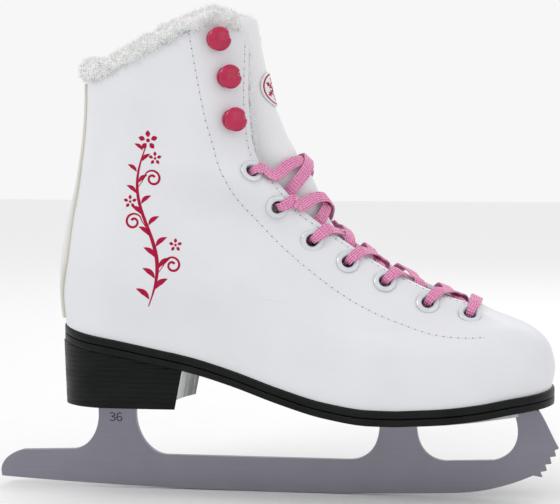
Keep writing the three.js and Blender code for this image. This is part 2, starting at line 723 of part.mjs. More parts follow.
const heelPlateFrom = heelX + 7;
const heelPlateTo = heelPlateFrom + heelPlateLength;
function heelPlateShape(grow, z0, z1) {
  const r = 12 + grow;
  const [a, b] = [heelPlateFrom - grow, heelPlateTo + grow];
  const w = heelPlateHalfWidth + grow;
  const s = new THREE.Shape();
  s.moveTo(a + r, -w).lineTo(b, -w).lineTo(b, w).lineTo(a + r, w);
  s.absarc(a + r, w - r, r, Math.PI / 2, Math.PI, false);
  s.absarc(a + r, -w + r, r, Math.PI, 1.5 * Math.PI, false);
  return extrude(s, z0, z1);
}
function extrude(shape, z0, z1, curveSegments = 5) {
  const g = new THREE.ExtrudeGeometry(shape, { depth: z1 - z0, bevelEnabled: false, curveSegments });
  return g.translate(0, 0, z0);
}
piece(
  "heel_plate",
  cut(heelPlateShape(0, heelBottom, heelBottom + plateThickness), tenonCutter(heelTenon, 20, 70), ...heelHoles,
    ...heelScrews.map(openBelow)),
  finishes.steel,
);

// Heel block: the outsole's outline above, a little smaller below, with a hollow breast.
const breastX = heelX + heelBreast;
const breastHollow = 6;
const breastSlope = 4; // the breast leans forward as it rises
function heelBlock() {
  const top = down(outBottom + gap);
  const ring = (k) => {
    const taper = heelTaper * (1 - k);
    const back = heelX + edge + taper;
    const front = breastX + breastSlope * k;
    const height = (x) => lerp(heelBottom, top(x), k);
    const xs = Array.from({ length: 11 }, (_, i) => lerp(back, front, 1 - Math.cos((Math.PI * i) / 20)));
    const half = (x) => Math.max(1, outlineHalf(x + edge, -taper * 0.5));
    const arc = steps(-1, 1, 6).slice(1, -1).map((y) => [front - breastHollow * (1 - y * y), y * half(front)]);
    return [
      ...xs.map((x) => new THREE.Vector3(x, -half(x), height(x))),
      ...arc.map(([x, y]) => new THREE.Vector3(x, y, height(x))),
      ...[...xs].reverse().map((x) => new THREE.Vector3(x, half(x), height(x))),
    ];
  };
  return loft(steps(0, 1, 3).map(ring));
}
piece(
  "heel_block",
  cut(heelBlock(), heelPlateShape(gap, heelBottom - 2, heelBottom + plateThickness + gap), ...heelHoles,
    tenonCutter(heelTenon, 40, heelBottom + plateThickness + 2)),
  finishes.blackHeel,
);
toeScrews.forEach((p, i) => {
  piece(`toe_plate_screw_${i + 1}`, moved(screw(toeScrewLength), p), finishes.zinc);
});
heelScrews.forEach((p, i) => {
  piece(`heel_plate_screw_${i + 1}`, moved(screw(heelScrewLength), p), finishes.zinc);
});

// ---------------------------------------------------------------- blade
const bladeTip = bladeTail + bladeLength;
const rockerCentre = -5;
const spinStart = bladeTip - 52;
const rockerZ = (x) => rocker - Math.sqrt(rocker ** 2 - (x - rockerCentre) ** 2);
const bottomZ = (x) => {
  if (x <= spinStart) return rockerZ(x);
  const slope = (spinStart - rockerCentre) / rocker;
  return rockerZ(spinStart) + slope * (x - spinStart) + (x - spinStart) ** 2 / (2 * spinRocker);
};
const toothPitch = 4.4;
const toothDepth = 2.6;
const pickTop = new THREE.Vector2(bladeTip, 26.2);
const pickFoot = new THREE.Vector2(bladeTip - 12.7, bottomZ(bladeTip - 12.7));
const plateUnder = (x) => plateBottom(x);
function bladeShape() {
  const s = new THREE.Shape();
  const tailTop = runnerTop + 1.8;
  const tenonTop = (x) => plateTop(x) - 0.2;
  const [first, ...along] = steps(bladeTail + 0.5, bladeTip - 12.7, 26);
  s.moveTo(first, bottomZ(first));
  along.forEach((x) => s.lineTo(x, bottomZ(x)));
  const teeth = 5;
  const way = pickTop.clone().sub(pickFoot).divideScalar(teeth);
  const out = new THREE.Vector2(way.y, -way.x).normalize();
  for (let i = 0; i < teeth; i += 1) {
    const root = pickFoot.clone().addScaledVector(way, i);
    const tip = root.clone().addScaledVector(way, 0.25).addScaledVector(out, toothDepth);
    s.lineTo(tip.x, tip.y);
    const next = pickFoot.clone().addScaledVector(way, i + 0.95);
    if (i < teeth - 1) s.lineTo(next.x, next.y);
  }
  s.quadraticCurveTo(bladeTip - 5, 37, toeTenon[1] + 1.6, plateUnder(toeTenon[1]) - gap);
  s.lineTo(toeTenon[1], plateUnder(toeTenon[1]) - gap);
  s.lineTo(toeTenon[1], tenonTop(toeTenon[1]));
  s.lineTo(toeTenon[0], tenonTop(toeTenon[0]));
  s.lineTo(toeTenon[0], plateUnder(toeTenon[0]) - gap);
  const windowRight = toeTenon[0] + 2.6;
  s.bezierCurveTo(windowRight + 2, 34, windowRight, 22, windowRight - 12, runnerTop + 1.6);
  s.lineTo(ballTenon[1] + 15, runnerTop + 0.6);
  const ballFront = ballTenon[1];
  s.bezierCurveTo(ballFront + 5, runnerTop + 1, ballFront - 0.5, 26, ballFront, plateUnder(ballFront) - gap);
  s.lineTo(ballTenon[1], tenonTop(ballTenon[1]));
  s.lineTo(ballTenon[0], tenonTop(ballTenon[0]));
  s.lineTo(ballTenon[0], plateUnder(ballTenon[0]) - gap);
  s.bezierCurveTo(ballTenon[0] + 0.5, 26, ballTenon[0] - 5, runnerTop, ballTenon[0] - 16, runnerTop);
  s.lineTo(heelTenon[1] + 16, runnerTop);
  s.bezierCurveTo(heelTenon[1] + 6, runnerTop, heelTenon[1] - 3.5, 30, heelTenon[1] - 0.3, heelBottom - gap);
  s.lineTo(heelTenon[1], heelBottom - gap);
  s.lineTo(heelTenon[1], heelBottom + plateThickness);
  s.lineTo(heelTenon[0], heelBottom + plateThickness);
  s.lineTo(heelTenon[0], heelBottom - gap);
  s.bezierCurveTo(heelTenon[0] + 3.5, 30, heelTenon[0] - 5, tailTop, heelTenon[0] - 14, tailTop);
  s.lineTo(bladeTail + 12, tailTop - 1);
  s.quadraticCurveTo(bladeTail + 1, runnerTop - 2, bladeTail, 7.5);
  return s;
}
piece(
  "blade",
  new THREE.ExtrudeGeometry(bladeShape(), { depth: bladeThickness, bevelEnabled: false, curveSegments: 8 })
    .translate(0, 0, -bladeThickness / 2).rotateX(Math.PI / 2),
  finishes.steel,
);

// ---------------------------------------------------------------- eyelets and speed hooks
const eyeletShape = lathe([
  [eyeletHole, 0.9], [eyeletOuter - 0.6, 0.9], [eyeletOuter, layOn], [eyeletHole + eyeletWall, layOn],
  [eyeletHole + eyeletWall, -layers - 0.2], [eyeletHole, -layers - 0.2], [eyeletHole, 0.9],
], 8);
function hookShape() {
  const top = 1.6;
  const cap = lathe([
    [0, hookHeight - top], [hookRadius, hookHeight - top], [hookRadius, hookHeight - 0.5],
    [hookRadius * 0.72, hookHeight + 0.5], [0, hookHeight + 0.8],
  ], 12);
  const neckHeight = hookHeight - top - layOn;
  const neck = new THREE.BoxGeometry(2.4, 5, neckHeight + 0.4)
    .translate(hookRadius - 2.6, 0, layOn + 0.3 + neckHeight / 2);
  const foot = rod(hookRadius * 0.85, layOn, layOn + 1.2, 12);
  const pin = rod(hookPin, pinEnd, layOn + 0.5, 6);
  return join(cap, neck, foot, pin);
}
const hookMade = hookShape();
places.forEach((at) => {
  if (at.kind === "eyelet") piece(at.name, seatOn(eyeletShape, at), finishes.eyelet);
  else piece(at.name, seatOn(hookMade, at), finishes.hook);
});

// ---------------------------------------------------------------- tongue
// The column where the skin is a given distance from the boot's middle plane, near the front.
function columnAt(v, y) {
  const level = Math.min(1, v);
  let [near, far] = [0.5, 0.2];
  for (let i = 0; i < 40; i += 1) {
    const u = (near + far) / 2;
    const p = boot(u, level);
    if (centreY(p.x) - p.y < Math.abs(y)) near = u;
    else far = u;
  }
  return y < 0 ? near : 1 - near;
}
const laceRoom = laceThickness + 3 * gap; // between the lining and the tongue's wings
const tongueRise = through([
  [0.3, 1], [0.36, 4.5], [0.5, 6], [0.56, 7.5], [0.62, 11.5], [0.7, 17],
  [0.76, 18.6], [0.83, 14.5], [0.88, 11], [0.94, 9], [1, 7], [1.1, 6],
]);
const tongueBase = 0.29;
const tongueTop = 1.045;
const tongueDepth = (v) => layers + 2 * gap + laceRoom * smooth(tongueBase, tongueBase + 0.04, v);
const tongueHalf = through([
  [tongueBase, 7], [0.4, 8.4], [0.5, 8.4], [0.56, 8.2], [0.64, 17],
  [0.74, tongueHalfWidth - 2], [0.9, tongueHalfWidth],
  [1, tongueHalfWidth - 0.5], [1.03, tongueHalfWidth - 4], [tongueTop, tongueHalfWidth - 12],
]);
// y across, v along, inset down from the tongue's outer face.
function tonguePoint(y, v, inset) {
  const level = Math.min(0.999, v);
  const u = Math.abs(y) < 0.01 ? 0.5 : columnAt(level, y);
  const arch = Math.max(0, 1 - (Math.abs(y) / (halfGapAt(level) - liningShow - gap)) ** 2) ** 1.5;
  const p = skin(u, level, tongueDepth(level) - tongueRise(v) * arch + inset);
  const middle = frontAt(level).y;
  p.z = lerp(p.z, middle, smooth(0.72, 0.95, v));
  return p.add(new THREE.Vector3(-30, 0, 245).multiplyScalar(Math.max(0, v - level)));
}
// A layer of the tongue between two insets. Both are scaled where the tongue thins, and sunk by a clearance.
function tongueLayer(top, bottom, sink, count) {
  return loft(
    steps(tongueBase, tongueTop, count).map((v) => {
      const half = tongueHalf(v);
      const ys = [-1, -0.8, -0.6, -0.42, -0.22, 0, 0.22, 0.42, 0.6, 0.8, 1].map((k) => k * half);
      const thin = (y) => lerp(1, 0.45, (Math.abs(y) / half) ** 3);
      return [
        ...ys.map((y) => tonguePoint(y, v, top * thin(y) + sink)),
        ...[...ys].reverse().map((y) => tonguePoint(y, v, bottom * thin(y) + sink)),
      ];
    }),
  );
}
const tongueLining = 1.8;
const padding = tongueThickness - tongueLining;
// The tongue folds in a level plane through its crease. Each half is cut off there.
const foldZ = frontAt(tongueCrease).y;
const beyondFold = (side) =>
  new THREE.BoxGeometry(200, 200, 200).translate(0, 0, foldZ + side * (100 - foldGap / 2));
const lowerHalf = (g) => cut(g, beyondFold(1));
const upperHalf = (g) => cut(g, beyondFold(-1));
const face = () => tongueLayer(0, padding, 0, 14);
const back = () => tongueLayer(padding, tongueThickness, 4 * gap, 14);
piece("tongue_lower", lowerHalf(face()), finishes.whiteLeather);
piece("tongue_upper", upperHalf(face()), finishes.whiteLeather);
piece("tongue_lining_lower", lowerHalf(back()), finishes.liningFur);
piece("tongue_lining_upper", upperHalf(back()), finishes.liningFur);

// A round emblem on the tongue's front.
const emblemAt = 0.9;
const emblemRadius = 9;
const emblemThickness = 0.6;
function emblem() {
  const row = (v) => {
    const half = emblemRadius * Math.sqrt(Math.max(0.02, 1 - ((v - emblemAt) / emblemShare) ** 2));
    const ys = steps(-half, half, 6);
    return [
      ...ys.map((y) => tonguePoint(y, v, -layOn - emblemThickness)),
      ...[...ys].reverse().map((y) => tonguePoint(y, v, -layOn)),
    ];
  };
  return loft(steps(emblemAt - emblemShare, emblemAt + emblemShare, 8).map(row));
}
const emblemShare = emblemRadius / 256;
piece("tongue_badge", emblem(), finishes.emblem);

// ---------------------------------------------------------------- lace
// One flat lace through all the eyelets. It enters each eyelet from outside, passes under the facing's edge and
// crosses to the next eyelet of the other side. Heights are measured from the skin, closed over the throat.
const laceHalf = laceThickness / 2;
const onLeather = layOn + 0.9 + gap + laceHalf;
const narrow = 4; // the lace's width where it is drawn together in an eyelet
const eyeletsOf = (side) => places.filter((at) => at.kind === "eyelet" && at.name.includes(side));
const ladder = { lateral: eyeletsOf("lateral"), medial: eyeletsOf("medial") };

// The place along the front line that a point lies square to.
function levelOf(p) {
  let [low, high] = [0.15, 0.98];
  for (let i = 0; i < 30; i += 1) {
    const v = (low + high) / 2;
    const a = frontAt(v + 0.001).sub(frontAt(v - 0.001));
    const d = (p.x - frontAt(v).x) * a.x + (p.z - frontAt(v).y) * a.y;
    if (d > 0) low = v;
    else high = v;
  }
  return (low + high) / 2;
}
// A station of a ribbon: its centre, the direction of its thickness, and its width.
const station = (p, normal, width = laceWidth) => ({ p, normal, width });
// On or under the skin, square to the front line at v and y from the middle.
function overSkin(v, y, height, face) {
  let [near, far] = [0, -40];
  let best;
  for (let i = 0; i < 16; i += 1) {
    const out = (near + far) / 2;
    const p = frontPoint(v, out);
    best = placeAt(p.x, p.z, Math.sign(y), [0.8, v]);
    const wide = Math.abs(boot(best.u, best.v).y - centreY(p.x));
    if (wide < Math.abs(y)) near = out;
    else far = out;
  }
  return station(skin(best.u, best.v, -height), bootNormal(best.u, best.v).multiplyScalar(face));
}
const overThroat = (v, y, out, face) =>
  station(frontPoint(v, out).add(new THREE.Vector3(0, y, 0)), frontNormal(v).multiplyScalar(face));
const outOf = (v, p) => p.clone().sub(frontPoint(v, 0)).dot(frontNormal(v));

// How far the tongue's face stands out at v and y.
function tongueOut(v, y) {
  const met = steps(0, tongueHalf(v), 14).map((k) => {
    const p = tonguePoint(k * Math.sign(y || 1), v, 0);
    return [Math.abs(p.y - centreY(p.x)), outOf(v, p)];
  });
  return Math.max(...met.filter(([wide]) => Math.abs(wide - Math.abs(y)) < 3.5).map(([, out]) => out), -30);
}

// From inside eyelet a, under its facing, over the throat and onto the leather beside eyelet b.
// lift raises it over the strand that it crosses.
function crossing(a, b, lift, face) {
  const offMiddle = (at) => at.point.y - centreY(at.point.x);
  const [ya, yb] = [offMiddle(a), offMiddle(b)];
  const side = Math.sign(ya);
  const [va, vb] = [levelOf(a.point), levelOf(b.point)];
  const vAt = (y) => lerp(va, vb, clamp01((ya - y) / (ya - yb)));
  const laceShare = laceWidth / 2 / 256; // half the lace's width along the front line
  const near = Math.max(vAt(side * 10), throatEnd + 0.02 + laceShare);
  const far = vAt(-side * 12);
  const lip = Math.min(halfGapAt(near - laceShare), halfGapAt(near + laceShare)) - liningShow - 0.1;
  const rim = halfGapAt(far);
  const wall = overSkin(near, side * (lip + 3.4), -layers, face);
  const wallOut = outOf(near, wall.p);
  const rimPoint = overSkin(far, -side * (rim + 0.4), onLeather, face);
  const rimOut = outOf(far, rimPoint.p);
  const top = Math.max(wallOut + 6.5, -2.2) + lift;
  const outwards = new THREE.Vector3(0, side * face, 0);
  const turned = outwards.clone().lerp(frontNormal(near).multiplyScalar(face), 0.6).normalize();
  const clear = (y, out) => {
    const v = vAt(y);
    return overThroat(v, y, Math.max(out, tongueOut(v, y) + 5 * gap + laceHalf + lift), face);
  };
  return [
    station(overThroat(near, side * (lip - 1.1), wallOut - 1.9, face).p, outwards, 5),
    station(clear(side * (lip - 1.4), wallOut + 4).p, turned),
    clear(side * (lip - 4), top - 0.6),
    clear(side * (lip - 9), top - 0.2),
    clear(0, top),
    clear(-side * rim * 0.3, lerp(top, rimOut, 0.15) + 0.6),
    clear(-side * rim * 0.6, lerp(top, rimOut, 0.4) + 0.6),
    station(
      rimPoint.p,
      rimPoint.normal.clone().lerp(frontNormal(far).multiplyScalar(face), 0.5).normalize(),
    ),
    overSkin(vAt(-side * (rim + 2.4)), -side * (rim + 2.4), onLeather, face),
  ];
}
// Through an eyelet, from the station before it to the one after it.
function dive(at, before, after, face) {
  const flat = (p) => p.clone().sub(at.point).projectOnPlane(at.normal).normalize();
  const [from, to] = [flat(before.p), flat(after.p)];
  const up = at.normal.clone().multiplyScalar(face);
  const place = (way, slide, height, tilt, width) =>
    station(
      at.point.clone().addScaledVector(way, slide).addScaledVector(at.normal, height),
      up.clone().multiplyScalar(Math.cos(tilt)).addScaledVector(way, -face * Math.sin(tilt)),
      width,
    );
  return [
    place(from, 3.6, onLeather + 0.1, 0.1, 5.4),
    place(from, 1.5, onLeather - 0.2, 0.6, narrow),
    place(from, 0.3, onLeather - 2.2, 1.5, narrow),
    place(from.clone().add(to).normalize(), 0.1, -layers / 2, Math.PI / 2, narrow * 0.8),
    place(to, 0.3, -layers + 0.4, 1.6, narrow),
    place(to, 1.1, -layers - 1.1, 2.3, narrow),
  ];
}
function strand(first) {
  const order = steps(0, 6, 6).map((k) => ladder[(k + first) % 2 ? "medial" : "lateral"][k]);
  const faceAt = (k) => (k % 2 ? -1 : 1);
  const level = levelOf(order[0].point);
  const side = Math.sign(order[0].point.y);
  const start = [
    overThroat(level, 0, onLeather, 1),
    overThroat(level, side * 6, onLeather - 0.8, 1),
    overSkin(level, side * 11.5, onLeather, 1),
  ];
  const upper = steps(1, 6, 5).map((k) => crossing(order[k - 1], order[k], first ? 1.8 : 0, faceAt(k)));
  const legs = [start, ...upper];
  return legs.flatMap((leg, k) => {
    const after = k < 6 ? legs[k + 1][0] : leg[leg.length - 3];
    return [...leg, ...dive(order[k], leg[leg.length - 1], after, faceAt(k))];
  });
}
const lacing = [...strand(0).reverse(), ...strand(1).slice(1)];

function ribbon(stations) {
  const tangentAt = (i) =>
    stations[Math.min(stations.length - 1, i + 1)].p
      .clone()
      .sub(stations[Math.max(0, i - 1)].p)
      .normalize();
  return loft(
    stations.map(({ p, normal, width }, i) => {
      const across = tangentAt(i).cross(normal).normalize();
      const thick = across.clone().cross(tangentAt(i)).normalize();
      const corner = (a, b) =>
        p.clone().addScaledVector(across, (a * width) / 2).addScaledVector(thick, b * laceHalf);
      return [corner(-1, -1), corner(1, -1), corner(1, 1), corner(-1, 1)];
    }),
  );
}
piece("lace", ribbon(lacing), finishes.lace);

// The free ends lie in the boot: down the wall behind the tongue, along the footbed round the ball and back.
// x, distance to the side of the boot's middle, and height above the boot's bottom line.
const freeEnd = [
  [-13.2, 21.2, 94.6], [-18, 20.2, 85], [-24.5, 18.8, 74], [-31, 20.4, 60], [-37, 22, 45], [-41, 21.6, 32],
  [-42.5, 20.4, 21], [-38, 19.6, 12.6], [-27, 19.4, 9.6], [-12, 20.6, 9.3], [10, 23.4, 9.2], [30, 26.4, 9.2],
  [50, 28, 9.2], [70, 28.6, 9.2], [82, 27, 9.2], [90, 22, 9.2], [93, 15.6, 9.2], [90, 9.2, 9.2], [82, 4.8, 9.2],
  [70, 4, 9.2], [50, 4, 9.2], [30, 4, 9.2], [10, 4, 9.2], [-10, 4, 9.2], [-30, 4, 9.2], [-50, 4, 9.2],
];
const agletRadius = 1.6;
const agletLength = 22;
Object.entries(sides).forEach(([name, side]) => {
  const points = freeEnd.map(([x, y, z]) => new THREE.Vector3(x, centreY(x) + side * y, featherZ(x) + z));
  const inward = (i) => points[Math.min(i + 1, points.length - 1)].clone().sub(points[Math.max(i - 1, 0)])
    .cross(new THREE.Vector3(0, 0, 1)).normalize();
  const across = (i) => (i < 7 ? new THREE.Vector3(0, -side, 0) : inward(i).multiplyScalar(side));
  piece(`lace_end_${name}`, ribbon(points.map((p, i) => station(p, across(i)))), finishes.lace);
  const last = points[points.length - 1];
  const slope = last.clone().sub(points[points.length - 2]).normalize();
  const aglet = rod(agletRadius, gap, agletLength, 8).applyQuaternion(
    new THREE.Quaternion().setFromUnitVectors(new THREE.Vector3(0, 0, 1), slope),
  );
  piece(`aglet_${name}`, moved(aglet, last), finishes.aglet);
});

export default skate;
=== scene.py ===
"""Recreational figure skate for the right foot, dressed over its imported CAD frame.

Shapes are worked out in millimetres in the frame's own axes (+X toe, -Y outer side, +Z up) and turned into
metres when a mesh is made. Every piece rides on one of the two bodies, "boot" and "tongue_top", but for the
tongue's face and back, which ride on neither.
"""

import logging
import math
import random
from collections.abc import Iterator, Sequence
from contextlib import contextmanager
from dataclasses import dataclass, field
from enum import Enum

import bmesh
import bpy
from mathutils import Matrix, Vector, noise
from mathutils.bvhtree import BVHTree

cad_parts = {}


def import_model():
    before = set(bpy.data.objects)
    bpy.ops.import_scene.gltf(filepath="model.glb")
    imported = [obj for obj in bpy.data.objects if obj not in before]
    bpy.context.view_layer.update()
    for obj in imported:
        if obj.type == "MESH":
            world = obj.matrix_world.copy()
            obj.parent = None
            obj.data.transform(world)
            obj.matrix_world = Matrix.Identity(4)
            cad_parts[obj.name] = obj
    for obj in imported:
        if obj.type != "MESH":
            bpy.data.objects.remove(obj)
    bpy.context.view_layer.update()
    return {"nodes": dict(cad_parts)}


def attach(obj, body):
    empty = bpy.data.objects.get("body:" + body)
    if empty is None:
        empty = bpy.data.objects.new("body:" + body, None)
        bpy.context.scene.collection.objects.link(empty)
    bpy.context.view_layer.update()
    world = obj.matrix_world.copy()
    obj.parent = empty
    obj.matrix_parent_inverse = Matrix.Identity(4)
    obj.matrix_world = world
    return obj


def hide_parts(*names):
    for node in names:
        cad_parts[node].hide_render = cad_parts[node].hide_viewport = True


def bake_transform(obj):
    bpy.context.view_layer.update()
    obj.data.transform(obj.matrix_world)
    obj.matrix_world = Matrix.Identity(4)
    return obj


LOG = logging.getLogger("skate")
MM = 0.001
BOOT = "boot"
TONGUE = "tongue_top"

Point2 = tuple[float, float]


class Side(Enum):
    """The two sides of the foot, by the sign of their Y."""

    LATERAL = -1
    MEDIAL = 1

    @property
    def label(self) -> str:
        """Returns: the side's name as used in node names."""
        return self.name.lower()


class Surface(Enum):
    """What a finish is made of, which picks its shader."""

    LEATHER = "leather"
    PILE = "pile"
    WEAVE = "weave"
    RUBBER = "rubber"
    STACK = "stack"
    REFLECTION_STREAKED = "reflection_streaked"
    BRUSHED = "brushed"
    GLOSS = "gloss"
    INK = "ink"
    BOARD = "board"


# ---------------------------------------------------------------- small maths
def lerp(a: float, b: float, k: float) -> float:
    """Mixes two numbers.

    Args:
        a: value at k = 0.
        b: value at k = 1.
        k: share of b.

    Returns:
        The mix.
    """
    return a + (b - a) * k


def clamp01(k: float) -> float:
    """Args: k, any number. Returns: k kept between 0 and 1."""
    return min(1.0, max(0.0, k))


def smooth(a: float, b: float, x: float) -> float:
    """Eases from 0 to 1.

    Args:
        a: where the rise starts.
        b: where it ends.
        x: where it is read.

    Returns:
        A number from 0 to 1.
    """
    k = clamp01((x - a) / (b - a))
    return k * k * (3 - 2 * k)


def steps(start: float, end: float, count: int) -> list[float]:
    """Args: start and end of a span, and the count of equal steps. Returns: count + 1 numbers."""
    return [lerp(start, end, i / count) for i in range(count + 1)]


@dataclass(frozen=True)
class Knots:
    """A smooth function through (x, y) knots that never overshoots them."""

    points: tuple[Point2, ...]

    def __call__(self, x: float) -> float:
        """Args: x, where the function is read. Returns: its value, held beyond the end knots."""
        p = self.points
        n = len(p)
        at = min(p[-1][0], max(p[0][0], x))
        i = 0
        while i < n - 2 and at > p[i + 1][0]:
            i += 1
        h = p[i + 1][0] - p[i][0]
        t = (at - p[i][0]) / h
        t2, t3 = t * t, t * t * t
        return (
            (2 * t3 - 3 * t2 + 1) * p[i][1]
            + (t3 - 2 * t2 + t) * h * self._tangent(i)
            + (3 * t2 - 2 * t3) * p[i + 1][1]
            + (t3 - t2) * h * self._tangent(i + 1)
        )

    def _slope(self, i: int) -> float:
        p = self.points
        return (p[i + 1][1] - p[i][1]) / (p[i + 1][0] - p[i][0])

    def _tangent(self, i: int) -> float:
        last = len(self.points) - 1
        if i == 0:
            return self._slope(0)
        if i == last:
            return self._slope(last - 1)
        a, b = self._slope(i - 1), self._slope(i)
        return 0.0 if a * b <= 0 else 2 * a * b / (a + b)


def catmull(values: Sequence, p: float):
    """Reads a Catmull-Rom curve through a list of numbers or vectors.

    Args:
        values: the curve's points.
        p: place along it, counted in points.

    Returns:
        The value there.
    """
    n = len(values)
    p = min(n - 1.0, max(0.0, p))
    i = min(int(math.floor(p)), n - 2) if n > 1 else 0
    w = p - i
    p0, p1 = values[i if i == 0 else i - 1], values[i]
    p2, p3 = values[min(i + 1, n - 1)], values[min(i + 2, n - 1)]
    v0, v1 = (p2 - p0) * 0.5, (p3 - p1) * 0.5
    return (
        (p1 * 2 - p2 * 2 + v0 + v1) * w**3
        + (p2 * 3 - p1 * 3 - v0 * 2 - v1) * w**2
        + v0 * w
        + p1
    )


class Line:
    """A Catmull-Rom line in the side view, read by its share of length."""

    DIVISIONS = 200

    def __init__(self, points: Sequence[Point2]) -> None:
        """Args: points, the (x, z) places it goes through."""
        self.points = [Vector(p) for p in points]
        self.lengths = [0.0]
        last = self._raw(0.0)
        for i in range(1, self.DIVISIONS + 1):
            here = self._raw(i / self.DIVISIONS)
            self.lengths.append(self.lengths[-1] + (here - last).length)
            last = here
        self._seen: dict[float, Vector] = {}

    def _raw(self, t: float) -> Vector:
        return catmull(self.points, t * (len(self.points) - 1))

    def at(self, u: float) -> Vector:
        """Args: u, share of the line's length. Returns: the (x, z) point there."""
        u = clamp01(u)
        found = self._seen.get(u)
        if found is None:
            target = u * self.lengths[-1]
            low, high = 0, self.DIVISIONS
            while high - low > 1:
                mid = (low + high) // 2
                if self.lengths[mid] <= target:
                    low = mid
                else:
                    high = mid
            span = self.lengths[low + 1] - self.lengths[low]
            t = (low + (target - self.lengths[low]) / span) / self.DIVISIONS
            found = self._raw(clamp01(t))
            self._seen[u] = found
        return found


def rounded(distance: float, radius: float, power: float) -> float:
    """Quarter of a superellipse.

    Args:
        distance: distance in from the end.
        radius: distance at which it reaches 1.
        power: its squareness.

    Returns:
        0 at the very end, 1 from one radius on.
    """
    k = 1 - clamp01(distance / radius)
    return max(0.0, 1 - k**power) ** (1 / power)


